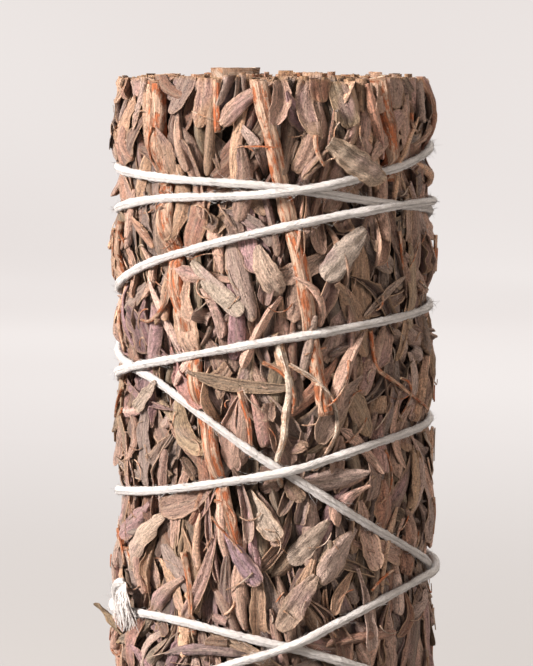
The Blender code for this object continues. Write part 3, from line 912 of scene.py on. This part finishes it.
# %% Bark and wood finish
def bark_finish(name, pale_share, red, pale):
    make = Finish(name)
    place, tint = make.note("place"), make.note("tint", "Color")
    ring, share, sawn = make.split(make.note("form"))
    flakes = make.stretched(place, (0.42, 0.95, 1.7), 5.0, 0.65)
    fibres = make.stretched(place, (0.35, 5.0, 3.3), 4.0, 0.6)
    grain = make.stretched(place, (4.0, 4.4, 2.1), 3.0, 0.6)
    rubbed = make.ranged(flakes, pale_share - 0.045, pale_share + 0.045)
    bark = make.blend(make.ranged(grain, 0.3, 0.7, 0.0, 0.5), make.blend(rubbed, red, pale), tint, "MULTIPLY")
    light = make.times(make.ranged(fibres, 0.32, 0.68, 0.45, 1.35), make.ranged(grain, 0.3, 0.7, 0.72, 1.25))
    ringed = make.blend(make.times(ring, 0.6), make.lit(bark, light), (0.16, 0.07, 0.035))
    specks = make.ranged(make.stretched(place, (2.1, 2.3, 9.0), 2.0), 0.68, 0.74, 0.0, 0.7)
    ringed = make.blend(specks, ringed, (0.07, 0.03, 0.02))
    growth = make.maths("SINE", make.times(share, 19.0))
    wood = make.blend(make.ranged(growth, -1, 1), (0.52, 0.34, 0.20), (0.70, 0.53, 0.36))
    wood = make.blend(make.ranged(share, 0.80, 0.97), wood, (0.34, 0.15, 0.07))
    wood = make.blend(make.ranged(grain, 0.35, 0.7, 0.0, 0.5), wood, (0.36, 0.21, 0.12))
    peel = make.bump(rubbed, 0.7, 0.0002, make.bump(fibres, 0.9, 0.0005))
    return make.done(
        Base_Color=make.blend(sawn, ringed, wood), Roughness=make.ranged(grain, 0.3, 0.7, 0.55, 0.85),
        Normal=make.bump(grain, 0.7, 0.0002, peel), Specular_IOR_Level=0.3)


stem_look = bark_finish("red_bark", 0.49, (0.42, 0.125, 0.045), (0.56, 0.37, 0.26))
stalk_look = bark_finish("tan_bark", 0.47, (0.40, 0.21, 0.12), (0.50, 0.38, 0.29))
print("finishes:", stem_look.name, stalk_look.name)

# %% [markdown]
# ## Stems
# A stem is a tube of rings.  Its radius swells at each old leaf joint and wavers a little, and lengthwise
# ridges run along it.  A sawn end is cut level and gets a face of its own with rings on it.

# %% Stems
def frames(line):
    """Forward, outward and sideways directions along a line, outward being away from the bunch's axis."""
    forward = np.gradient(line, axis=0)
    forward /= np.linalg.norm(forward, axis=1, keepdims=True)
    outward = line * np.array([1.0, 1.0, 0.0])
    outward = outward - np.sum(outward * forward, axis=1, keepdims=True) * forward
    outward /= np.maximum(np.linalg.norm(outward, axis=1, keepdims=True), 1e-6)
    return forward, outward, np.cross(forward, outward)


def waver(run, turn, size):
    """A small uneven swelling over a tube, from how far along it and which way round."""
    field = np.zeros(np.broadcast(run, turn).shape)
    for _ in range(7):
        lobes = draw.integers(0, 5)
        pace = draw.uniform(-1.1, 1.1)
        field += np.sin(lobes * turn + pace * run + draw.uniform(0, 6.28))
    return size * field / 2.0


def under_string(wall):
    """Points of a stem, pressed in where the string crosses it."""
    s, z, r = unrolled(wall)
    groove = STRING_AT - 0.42 * STRING_THICK + 1.5 * np.clip(near_string(s, z) - 0.45, 0, 9)
    return rolled(s, z, np.minimum(r, groove))


def tube(line, size, turn, high=1.0, wide=1.0):
    """Rings of points round a line, each point its own distance from it."""
    _, outward, sideways = frames(line)
    rising = high * np.cos(turn)[..., None] * outward[:, None, :]
    beside = wide * np.sin(turn)[..., None] * sideways[:, None, :]
    return line[:, None, :] + size[..., None] * (rising + beside)


def turns(around):
    """Angles round a section, as one row."""
    return np.linspace(0, 2 * math.pi, around, endpoint=False)[None, :]


SAWN_RINGS = (1.0, 0.82, 0.55, 0.25)     # the rings of a sawn face, as shares of its radius


def stem_shell(basket, line, radius, run, around, level, joints, tint, rough):
    """Adds a stem to a basket.  level says which ends were sawn flat with the bunch."""
    turn, along = turns(around), run[:, None]
    marks = np.arange(draw.uniform(2, joints), run[-1], joints) + draw.uniform(-1.5, 1.5)
    ring, swell = np.zeros(len(run)), np.zeros(len(run))
    for mark in marks:
        ring = np.maximum(ring, np.exp(-(((run - mark) / 0.22) ** 2)))
        swell += 0.14 * np.exp(-(((run - mark) / 0.9) ** 2))
    size = radius[:, None] * (1 + swell[:, None] - 0.07 * ring[:, None] + waver(along, turn, rough))
    size = size * (1 + 0.035 * np.sin(draw.integers(5, 9) * turn + 0.15 * along))
    wall = tube(line, size, turn)
    for end, is_level in zip((0, -1), level):
        if is_level:
            wall[end, :, 2] = line[end, 2] + draw.uniform(-0.06, 0.06, around)
    if np.hypot(line[:, 0], line[:, 1]).max() > 18:
        wall = under_string(wall.reshape(-1, 3)).reshape(wall.shape)
    number = draw.uniform(0, 100)
    points = [wall.reshape(-1, 3)]
    place = [notes(along, turn * radius.mean(), number)]
    form = [notes(ring[:, None], 1.0 + 0 * turn, 0.0)]
    quads = [tube_walls(len(run), around)]
    lid = lid_quads(around) + (len(SAWN_RINGS) - 1) * around
    face = np.concatenate([tube_walls(len(SAWN_RINGS), around), lid])
    for end, count in ((0, len(points[0])), (-1, len(points[0]) + len(SAWN_RINGS) * around)):
        for share in SAWN_RINGS:
            flat = (wall[end] - line[end]) * share
            points.append(line[end] + flat + draw.uniform(-0.03, 0.03, flat.shape) * (share < 1))
            place.append(notes(flat[:, 0], flat[:, 1], number))
            form.append(notes(0.0, np.full(around, share), 1.0))
        quads.append(face + count if end else face[:, ::-1] + count)
    join = np.concatenate
    basket.add(join(points), join(quads), join(place), np.array(tint, float), join(form))


def close_seams(piece):
    """Joins a tube's wall to the rims of its sawn faces, which share their places."""
    weld = piece.modifiers.new("join_rims", "WELD")
    weld.merge_threshold = 0.000002
    return piece


STEM_TINTS = {
    "outside_stem_left": (0.9, 0.75, 0.7), "outside_stem_middle": (0.7, 0.65, 0.6),
    "outside_stem_short": (0.9, 0.55, 0.4), "outside_stem_edge": (0.6, 0.5, 0.45),
}
for name, (line, radius, run) in outside_lines.items():
    basket = Basket()
    stem_shell(basket, line, radius, run, 20, (line[0, 2] > TOP - 2, False), 12.0, STEM_TINTS[name], 0.05)
    close_seams(basket.piece(name.replace("outside", "showing"), stem_look, [name], "stem", 45))

sawn_stems = [("sprig_core_stem", "stem")]
sawn_stems += [(f"sprig_inner_{i}_stem", "stalk" if i == 1 else "stem") for i in range(1, 7)]
sawn_stems += [(f"sprig_outer_{i:02d}_stem", "stem") for i in range(1, OUTER_SPRIGS + 1)]
sawn_places = []
for name, slot in sawn_stems:
    line, radius, run = smooth_line(*stem_line(name), 1.0)
    sawn_places.append((line[0, :2], line[-1, :2], radius.max()))
    basket = Basket()
    stem_shell(basket, line, radius, run, 18, (True, True), 13.0, draw.uniform(0.6, 1.0, 3), 0.06)
    look = stalk_look if slot == "stalk" else stem_look
    close_seams(basket.piece(name.replace("sprig", "sawn"), look, [name], slot, 45))
print("stems:", len(outside_lines) + len(sawn_stems))

# %% [markdown]
# ## Twigs and shreds
# Thin stalks lie among the leaves: a pale crooked one in the middle, an orange one that curls to the right,
# a strip of flat bark near the rim and many short bits.  Each is a stem like the others, only thin, that
# follows the heap from place to place.

# %% Twigs
def lay_twig(basket, s, z, size, tint, around=8, sunk=0.3):
    """A thin stem through unrolled places, resting on the heap and held under the ceiling."""
    run = np.concatenate([[0], np.cumsum(np.hypot(np.diff(s), np.diff(z)))])
    count = max(5, int(run[-1] / 0.45))
    route, _, _ = smooth_line(np.stack([s, z, 0 * s], axis=1), np.zeros(len(s)), run[-1] / (count + 0.5))
    at = np.linspace(0, run[-1], len(route))
    s, z = route[:, 0], route[:, 1]
    spots = cells(s, z)
    rest = heap[spots]
    high = np.array([rest[max(0, i - 3) : i + 4].max() for i in range(len(rest))])
    r = np.minimum(running_mean(high, np.ones(9) / 9) - size * sunk, ceiling[spots] + 0.15 - size)
    radius = size * (1 - 0.35 * at / at[-1])
    stem_shell(basket, rolled(s, z, r), radius, at, around, (False, False), 3.5, tint, 0.10)


def short_route(length, way):
    """A short crooked route through five places, and whether it is clear of the string and the ends."""
    s = draw.uniform(-ROUND / 2, ROUND / 2) + np.cumsum(np.sin(way)) * length / 5
    z = draw.uniform(4, TOP - 4) - np.cumsum(np.cos(way)) * length / 5
    return s, z, z.min() > 1 and z.max() < TOP - 1 and near_string(s, z).min() > 1.0


NAMED_TWIGS = [                  # places as angle and height, thickness, tint
    ([(0.2, 69.3), (3.2, 66.0), (5.1, 63.2), (4.0, 59.0), (3.0, 55.8), (1.0, 52.6), (2.6, 49.6)],
     0.55, (2.1, 2.4, 2.6)),
    ([(5.0, 65.5), (14.0, 63.4), (20.0, 61.0), (22.0, 57.0), (18.0, 53.5)], 0.34, (1.9, 2.0, 2.1)),
    ([(37.6, 69.4), (39.5, 64.4), (46.0, 62.8), (52.3, 61.5), (66.0, 59.6), (78.0, 58.0)],
     0.27, (1.5, 1.1, 0.8)),
    ([(40.6, 102.0), (43.0, 98.0), (46.0, 93.0), (48.4, 88.8)], 1.25, (0.75, 0.7, 0.65)),
    ([(-78.0, 79.0), (-76.0, 74.0), (-72.0, 69.5), (-71.0, 66.0)], 0.35, (1.2, 1.0, 0.9)),
    ([(-12.0, 62.0), (-9.0, 57.6), (-8.4, 53.5)], 0.4, (1.0, 0.7, 0.6)),
    ([(-33.0, 41.0), (-31.0, 36.0), (-31.5, 30.0)], 0.42, (0.9, 0.8, 0.75)),
]
PALE_TWIGS = 2
twigs, pale_twigs = Basket(), Basket()
for turn, (places, size, tint) in enumerate(NAMED_TWIGS):
    places = np.array(places)
    which = pale_twigs if turn < PALE_TWIGS else twigs
    lay_twig(which, np.radians(places[:, 0]) * ROLL, places[:, 1], size, tint, 12)
SHORT_TWIGS = 120
SHREDS = 420
BENT = np.linspace(-0.5, 0.5, 5)
for _ in range(SHORT_TWIGS):
    length = draw.uniform(3.0, 11.0)
    heading = draw.normal(0, 0.45) if draw.random() < 0.8 else draw.uniform(-1.5, 1.5)
    s, z, clear = short_route(length, heading + draw.normal(0, 0.5) * BENT * 2)
    if clear:
        lay_twig(twigs, s, z, draw.uniform(0.16, 0.36), draw.uniform(0.4, 1.6) * np.array([1.0, 0.95, 0.9]))
shreds = [Basket(), Basket()]
for turn in range(SHREDS):
    length = draw.uniform(1.5, 6.0)
    s, z, clear = short_route(length, draw.uniform(-1.6, 1.6) + draw.normal(0, 1.2) * BENT)
    if clear:
        size, tint = draw.uniform(0.05, 0.13), draw.uniform(0.5, 2.4) * np.ones(3)
        lay_twig(shreds[turn % 2], s, z, size, tint, around=5, sunk=-0.6)
for name, basket, look, slot, crease in (
    ("twigs_red", twigs, stem_look, "stem", 50),
    ("twigs_tan", pale_twigs, stalk_look, "stalk", 50),
    ("shreds_red", shreds[0], stem_look, "stem", 70),
    ("shreds_tan", shreds[1], stalk_look, "stalk", 70),
):
    close_seams(basket.piece(name, look, slot=slot, crease=crease))
print("twigs and shreds, faces:", sum(len(q) for basket in [twigs] + shreds for q in basket.quads))

# %% [markdown]
# ## The sawn ends
# Seen from its ends, the bunch is a close packing of leaf strips on edge: thin curls, folds and rolls, with
# the stems among them.  Each strip here is a short curl standing on end.  A map of the disc keeps them from
# running into each other.

# %% Packing strips at an end
DISC_HALF = 17.4
DISC_CELL = 0.12
DISC = int(2 * DISC_HALF / DISC_CELL)
STRIPS_REACH = 17.3              # the skin's own sawn leaves begin here
STRIP_POINTS = 9


def disc_cells(xy):
    return np.clip(((xy + DISC_HALF) / DISC_CELL).astype(int), 0, DISC - 1)


def strip_curve(middle, heading, length, curl):
    """Points of a curl in plan, STRIP_POINTS of them, and the direction across it at each."""
    share = np.linspace(-0.5, 0.5, STRIP_POINTS)
    tightening = curl * share * (1 + 0.5 * share)
    way = heading + tightening
    step = np.stack([np.cos(way), np.sin(way)], axis=1) * length / (STRIP_POINTS - 1)
    path = np.cumsum(step, axis=0)
    path = path - path.mean(axis=0) + middle
    return path, np.stack([-np.sin(way), np.cos(way)], axis=1)


def strip_shell(basket, path, across, thick, low, high, lean, tint, up):
    """Adds one strip on end, from low to high.  Its sawn edge faces up or down."""
    count = len(path)
    shape = np.sqrt(np.clip(1 - np.linspace(-1, 1, count) ** 6, 0.12, 1))[:, None]
    loop = np.concatenate([path + across * shape * thick / 2, (path - across * shape * thick / 2)[::-1]])
    sawn = high if up else low
    around = len(loop)
    rows, saw = [], []
    for share in (0.0, 0.55, 1.0):
        z = low + (high - low) * share
        ragged = draw.normal(0, 0.05, around) if z == sawn else 0.0
        rows.append(np.column_stack([loop + (z - sawn) * lean, np.full(around, z) + ragged]))
        saw.append(np.full(around, float(z == sawn)))
    lid = lid_quads(around)
    quads = np.concatenate([tube_walls(len(rows), around), lid[:, ::-1], lid + (len(rows) - 1) * around])
    points = np.concatenate(rows)
    run = np.tile(np.concatenate([np.arange(count), np.arange(count)[::-1]]) * 0.3, len(rows))
    place = notes(points[:, 2], run, draw.uniform(0, 100))
    basket.add(points, quads, place, tint, notes(0.0, 0.0, np.concatenate(saw)))


CORE_REACH = 4.15
INNER_REACH = 12.15
inner = {"core": Basket(), **{f"inner_{i}": Basket() for i in range(1, 7)}}
outer_ends = [Basket() for _ in range(OUTER_SPRIGS)]


def end_basket(x, y):
    """The basket of the sprig that a place in plan belongs to."""
    far = math.hypot(x, y)
    angle = math.degrees(math.atan2(x, -y))
    if far < CORE_REACH:
        return inner["core"]
    if far < INNER_REACH:
        return inner[f"inner_{int(((angle - FIRST_SPRIG + 30) % 360) // 60) + 1}"]
    return outer_ends[sprig_at(math.radians(angle) * ROLL)]


def pack_end(up, wanted, tries):
    """Packs strips on one end of the bunch."""
    full = np.zeros((DISC, DISC), bool)
    grid = (np.arange(DISC) + 0.5) * DISC_CELL - DISC_HALF
    for top_place, bottom_place, radius in sawn_places:
        x, y = top_place if up else bottom_place
        full |= np.hypot(grid[:, None] - x, grid[None, :] - y) < radius * 1.05
    placed = 0
    for attempt in range(tries):
        far = STRIPS_REACH * math.sqrt(draw.random())
        angle = draw.uniform(0, 2 * math.pi)
        middle = np.array([far * math.cos(angle), far * math.sin(angle)])
        late = attempt / tries
        length = draw.uniform(1.6, 4.6) * (1 - 0.6 * late)
        curl = draw.choice([draw.normal(0, 0.8), draw.uniform(1.5, 3.4), draw.uniform(-3.4, -1.5)])
        heading = angle + math.pi / 2 + draw.normal(0, 0.75)
        thick = draw.uniform(0.2, 0.42) * (1 - 0.3 * late)
        path, across = strip_curve(middle, heading, length, curl)
        if np.hypot(path[:, 0], path[:, 1]).max() > STRIPS_REACH:
            continue
        samples = np.concatenate([path + across * way * (thick / 2 + 0.04) for way in (-1, 0, 1)])
        spots = disc_cells(samples)
        if full[spots[:, 0], spots[:, 1]].mean() > 0.06:
            continue
        dense = np.linspace(0, STRIP_POINTS - 1, 5 * STRIP_POINTS)
        filled = np.stack([np.interp(dense, np.arange(STRIP_POINTS), path[:, k]) for k in (0, 1)], axis=1)
        side = np.stack([np.interp(dense, np.arange(STRIP_POINTS), across[:, k]) for k in (0, 1)], axis=1)
        for way in np.linspace(-0.5, 0.5, 5):
            spots = disc_cells(filled + side * way * thick)
            full[spots[:, 0], spots[:, 1]] = True
        sawn = draw.normal(0, 0.22)
        proud = draw.uniform(0.2, 0.8) if draw.random() < 0.05 else 0.0
        sunk = draw.uniform(0.4, 1.6) if draw.random() < 0.12 else 0.0
        inward = abs(sawn) + sunk
        tint = leaf_tint(angle * ROLL, 10.0, draw.uniform(0, 1.2))
        lean = draw.normal(0, 0.07, 2)
        if up:
            low, high = TOP - draw.uniform(4.5, 6.5), TOP - inward + proud
        else:
            low, high = BOTTOM + inward * 0.8, BOTTOM + draw.uniform(4.5, 6.5)
        strip_shell(end_basket(*middle), path, across, thick, low, high, lean, tint, up)
        placed += 1
        if placed >= wanted:
            break
    return placed, full.mean() / (math.pi * STRIPS_REACH**2 / (2 * DISC_HALF) ** 2)


print("strips on top, share covered:", pack_end(up=True, wanted=1500, tries=16000))
print("strips below, share covered:", pack_end(up=False, wanted=1500, tries=12000))

# %% [markdown]
# Each inner sprig is two pieces as well: its strips at both ends, and a heart of dark backing, painted shade.
# The strips of the outer sprigs follow.

# %% Inner sprigs as pieces
for label, basket in inner.items():
    basket.piece(f"sprig_{label}_strips", inner_look, [f"sprig_{label}_leaves"], "inner_leaves")
    if label == "core":
        slices = [(0.4, 4.1, start, start + 180) for start in (0, 180)]
    else:
        centre = FIRST_SPRIG + 60 * (int(label[-1]) - 1)
        slices = [(4.2, 12.1, centre - 30, centre + 30)]
    make_heart(f"sprig_{label}_heart", *slices)
for number, basket in enumerate(outer_ends):
    basket.piece(f"sprig_outer_{number + 1:02d}_strips", inner_look, slot="inner_leaves")
print("inner pieces:", 2 * len(inner), "outer end pieces:", len(outer_ends))

# %% [markdown]
# ## The last two leaves
# Two free leaves lie over the string.  The string's own thickness is added to the heap, the ceiling is lifted
# out of the way, and the leaves settle on what is there.

# %% Leaves over the string
heap_before = heap.copy()
for at_s, at_z, at_r in zip(string_s[::2], string_z[::2], string_r[::2]):
    reach = np.arange(-0.6, 0.61, 0.15)
    spots = cells(at_s + 0 * reach, at_z + reach)
    np.maximum.at(heap, spots, at_r + np.sqrt(np.maximum((STRING_THICK / 2) ** 2 - reach**2, 0)))
ceiling = full_ceiling + 1.6
for name in OVER_THE_STRING:
    lay_free_leaf(name, 0.78)
ceiling, heap = full_ceiling, heap_before
for name, basket in free.items():
    basket.piece(name.replace("loose", "free"), leaf_look, [name], "leaves")
print("free leaves laid:", len(free))

# %% [markdown]
# ## The string
# It is soft cotton of three plies, twisted.  Its section is three lobes that turn as it runs, and a fuzz of
# loose fibres stands off it.  The finish adds the fine slant of the fibres, with painted shade along that
# slant and in the grooves between the plies.

# %% Cotton finish
def cotton_finish():
    make = Finish("cotton_string")
    place = make.note("place")
    groove = make.split(make.note("form"))[0]
    slant = make.stretched(place, (1.6, 7.0, 1.0), 3.0, 0.6)
    cloud = make.stretched(place, (0.5, 0.7, 1.0), 3.0, 0.6)
    grain = make.stretched(place, (6.0, 9.0, 1.0), 3.0, 0.7)
    base = make.blend(make.ranged(cloud, 0.3, 0.7), (0.76, 0.70, 0.665), (0.90, 0.855, 0.83))
    # painted shade: darker along the fibre slant, and below in the grooves between the plies
    shaded = make.blend(make.ranged(slant, 0.3, 0.7, 0.6, 0.0), base, (0.46, 0.40, 0.35))
    return make.done(
        Base_Color=make.blend(make.times(groove, 0.35), shaded, (0.55, 0.48, 0.42)),
        Normal=make.bump(grain, 0.8, 0.0002, make.bump(slant, 0.9, 0.0004)), Roughness=0.95,
        Specular_IOR_Level=0.15, Sheen_Weight=0.25, Sheen_Roughness=0.7)


cotton_look = cotton_finish()
print("finish:", cotton_look.name)

# %% [markdown]
# The line starts at the tip of one tail, turns through the knot, follows the winding, and comes back through
# the knot to the tip of the other tail.

# %% The string's line, with its knot
KNOT_ANGLE = -88.0
KNOT_HEIGHT = 31.4
KNOT_HALF = 2.6
KNOT_TURN = 0.56
KNOT_STANDS = 0.3
KNOT_TAILS = {
    1: [(9.6, 1.6, 4.4), (7.8, 1.5, 4.2), (5.8, 1.3, 3.2), (4.0, 0.8, 1.6)],
    -1: [(-3.9, 1.3, -5.2), (-3.9, 1.2, -3.7), (-3.5, 0.9, -1.9)],
}


def knot_end(side):
    """One end of the string at the knot, from its tail's tip to where the winding takes over."""
    points = list(KNOT_TAILS[side])
    for step in range(13):
        along = side * KNOT_HALF * (1 - step / 6)
        phase = math.radians(-90 + 180 * (along + KNOT_HALF) / KNOT_HALF + (0 if side > 0 else 180))
        points.append((along, KNOT_STANDS + KNOT_TURN * math.sin(phase), KNOT_TURN * math.cos(phase)))
    points = np.array(points)
    s = math.radians(KNOT_ANGLE) * ROLL + points[:, 0]
    return rolled(s, KNOT_HEIGHT + points[:, 2], STRING_AT + points[:, 1])


wound = rolled(np.radians(string_angle) * ROLL, string_z, string_r)
route = np.concatenate([knot_end(1), wound, knot_end(-1)[::-1]])
thread, _, thread_run = smooth_line(route, np.zeros(len(route)), 0.28)
print("string length", round(thread_run[-1] / 1000, 2), "m")

# %% [markdown]
# The three plies are one tube.  Its section has three lobes, and they turn once in each `PLY_PITCH`.

# %% The string's three plies
PLIES = 3
PLY_PITCH = 3.4


def string_shell(basket, line, run, around=15):
    """A tube whose section has three lobes that turn along it, thinner at both cut tips."""
    forward = frames(line)[0]
    turn, along = turns(around), run[:, None]
    twist = 2 * math.pi * along / PLY_PITCH + 0.5 * np.sin(along / 7.1)
    lobes = np.abs(np.cos(PLIES / 2 * (turn - twist))) ** 0.8
    end = np.clip(np.minimum(run, run[-1] - run) / 0.8, 0.35, 1)[:, None]
    slub = 1 + 0.06 * np.sin(run / 5.3) + 0.06 * np.sin(run / 1.7 + 1) + 0.05 * np.sin(run / 0.61)
    wall = tube(line, STRING_THICK / 2 * (0.9 + 0.13 * lobes) * end * slub[:, None], turn, 0.94, 1.04)
    tips = []
    for tip, way in ((0, -1), (-1, 1)):
        tips.append(line[tip] + (wall[tip] - line[tip]) * 0.4 + way * 0.15 * forward[tip])
    count = len(run) * around
    k = np.arange(around)
    after = (k + 1) % around
    last_row, last_tip = count - around, count + around
    lid = lid_quads(around) + count
    quads = [
        tube_walls(len(run), around),
        np.stack([k, count + k, count + after, after], axis=1),
        np.stack([last_row + k, last_row + after, last_tip + after, last_tip + k], axis=1),
        lid[:, ::-1], lid + around,
    ]
    place = notes(along, STRING_THICK / 2 * turn + along * 0.35, 0.0)
    place = np.concatenate([place, place[:around], place[-around:]])
    # marks the grooves between the plies, where the finish paints shade
    form = notes(np.clip(1 - 2.2 * lobes, 0, 1), 0.0, 0.0)
    form = np.concatenate([form, np.zeros((2 * around, 3))])
    points = np.concatenate([wall.reshape(-1, 3)] + tips)
    basket.add(points, np.concatenate(quads), place, np.ones(3), form)


basket = Basket()
string_shell(basket, thread, thread_run)
cord = basket.piece("cotton_string", cotton_look, ["string"], "string", 80)
print("string faces:", len(cord.data.polygons))

# %% [markdown]
# Loose fibres stand off the cotton everywhere, and the upper tail has frayed into a small tassel.

# %% Its fuzz
FIBRES = 11000
TASSEL_STRANDS = 130


def fuzz(basket, line, run, count):
    """Loose fibres that stand off the string, each a thread three points round."""
    forward, outward, sideways = frames(line)
    for _ in range(count):
        k = draw.integers(4, len(run) - 4)
        turn = draw.uniform(0, 2 * math.pi)
        away = math.cos(turn) * outward[k] + math.sin(turn) * sideways[k]
        if away @ outward[k] < -0.45:
            continue
        start = line[k] + away * STRING_THICK * 0.44
        length = draw.uniform(0.35, 1.2)
        along = draw.choice([-1, 1]) * forward[k]
        stray = draw.normal(0, 0.35, 3)
        share = np.linspace(0, 1, 5)[:, None]
        reach = away * draw.uniform(0.25, 0.75) + along * draw.uniform(0.3, 0.9) + stray * 0.4
        bend = (along - away * 0.8) * draw.uniform(0, 0.7) + stray * 0.5
        path = start + length * (share * reach + share**2 * bend)
        size = draw.uniform(0.016, 0.036) * (1 - 0.6 * share[:, 0])
        corner = turns(3)[..., None]
        ring = path[:, None, :] + size[:, None, None] * (
            np.cos(corner) * away + np.sin(corner) * np.cross(forward[k], away))
        points = ring.reshape(-1, 3)
        basket.add(points, tube_walls(5, 3), points * 3.0, np.ones(3), points * 0)


def frayed(basket, count):
    """The loose strands of the upper tail, which has come untwisted and hangs beside the knot."""
    for _ in range(count):
        share = np.linspace(0, 1, 12)
        aside, forth = draw.normal(0, 1.3), draw.normal(0, 0.3)
        along = 9.4 + aside * np.sin(0.5 * math.pi * share) + 0.35 * np.sin(5 * share + draw.uniform(0, 6.28))
        up = 4.5 - draw.uniform(3.5, 6.5) * share
        out = 1.45 + 0.4 * np.sin(math.pi * share) + forth * share
        path = rolled(math.radians(KNOT_ANGLE) * ROLL + along, KNOT_HEIGHT + up, STRING_AT + out)
        size = draw.uniform(0.05, 0.10) * (1 - 0.5 * share)[:, None]
        points = tube(path, size, turns(5)).reshape(-1, 3)
        basket.add(points, tube_walls(len(share), 5), points, np.ones(3), points * 0)


basket = Basket()
fuzz(basket, thread, thread_run, FIBRES)
frayed(basket, TASSEL_STRANDS)
lint = basket.piece("cotton_fuzz", cotton_look, slot="string", crease=180)
print("fuzz faces:", len(lint.data.polygons))

# %% [markdown]
# ## Stage, light and camera
# A pale floor rises into a wall all round.  The wall glows a little, as a lit paper backdrop would.

# %% Stage
def stage_finish():
    make = Finish("pale_stage")
    where = make.node("TexCoord")["Object"]
    x, y, _ = make.split(where)
    out = make.maths("POWER", make.maths("ADD", make.times(x, x), make.times(y, y)), 0.5)
    cloudy = make.ranged(make.noise(where, 2.2, 1.0), 0.35, 0.65)
    wall = make.blend(cloudy, (0.790, 0.735, 0.715), (0.845, 0.795, 0.775))
    glow = make.ranged(out, 0.09, 0.5, 0.0, 0.97)
    return make.done(
        Base_Color=make.blend(glow, (0.36, 0.345, 0.335), (0.04, 0.04, 0.04)),
        Emission_Color=make.lit(wall, make.ranged(out, 0.15, 0.9, 0.80, 1.0)), Emission_Strength=glow,
        Roughness=0.9, Specular_IOR_Level=0.1)


def stage_bowl():
    """A floor that curves up into a wall all round."""
    bend = np.linspace(0, math.pi / 2, 12)
    profile = [(0.02, 0.0), (0.3, 0.0), (0.8, 0.0)]
    profile += [(1.3 + 0.5 * math.sin(a), 0.5 - 0.5 * math.cos(a)) for a in bend]
    profile += [(1.8, 1.2), (1.8, 2.0)]
    around = 96
    angles = np.linspace(0, 2 * math.pi, around, endpoint=False)
    points = [(r * math.sin(t), -r * math.cos(t), z) for r, z in profile for t in angles]
    faces = tube_walls(len(profile), around).tolist() + [tuple(range(around))[::-1]]
    mesh = bpy.data.meshes.new("stage")
    mesh.from_pydata(points, [], faces)
    mesh.polygons.foreach_set("use_smooth", np.ones(len(mesh.polygons), bool))
    mesh.materials.append(stage_finish())
    bowl = bpy.data.objects.new("stage", mesh)
    bpy.context.scene.collection.objects.link(bowl)
    bowl.visible_diffuse = False
    bowl.visible_shadow = False
    return bowl


stage = stage_bowl()
print("stage faces:", len(stage.data.polygons))

# %% [markdown]
# A small strong lamp stands high at the left front, a broad weak one at the right and one behind.

# %% Lamps
def lamp(name, place, aim, width, height, watts, colour):
    data = bpy.data.lights.new(name, "AREA")
    data.shape = "RECTANGLE"
    data.size, data.size_y = width, height
    data.energy = watts
    data.color = colour
    made = bpy.data.objects.new(name, data)
    made.location = place
    made.rotation_euler = (Vector(aim) - Vector(place)).to_track_quat("-Z", "Y").to_euler()
    bpy.context.scene.collection.objects.link(made)
    return made


AIM = (0.0, 0.0, 0.06)
lamp("key", (-0.60, -0.40, 0.38), AIM, 0.18, 0.18, 18.0, (1.0, 0.96, 0.93))
lamp("fill", (0.62, -0.42, 0.16), AIM, 0.5, 0.4, 2.4, (1.0, 0.87, 0.76))
lamp("back", (0.15, 0.75, 0.55), AIM, 0.5, 0.3, 6.5, (1.0, 0.97, 0.95))
world = bpy.data.worlds.new("studio")
world.use_nodes = True
world.node_tree.nodes["Background"].inputs["Color"].default_value = (0.96, 0.91, 0.88, 1)
world.node_tree.nodes["Background"].inputs["Strength"].default_value = 0.37
bpy.context.scene.world = world
bpy.context.scene.view_settings.view_transform = "Standard"
print("lamps: 3")

# %% [markdown]
# The camera has a long lens and looks a little down on the upper part of the bunch.

# %% Camera
camera_data = bpy.data.cameras.new("camera")
camera_data.lens = 180
camera_data.sensor_width = 36
camera = bpy.data.objects.new("camera", camera_data)
tilt = math.radians(4.4)
away = 0.445
aim = Vector((-1.0 * MM, 0, (TOP - 34.1) * MM))
camera.location = aim + away * Vector((0, -math.cos(tilt), math.sin(tilt)))
camera.rotation_euler = (aim - camera.location).to_track_quat("-Z", "Y").to_euler()
bpy.context.scene.collection.objects.link(camera)
bpy.context.scene.camera = camera
print("camera", [round(x, 3) for x in camera.location])
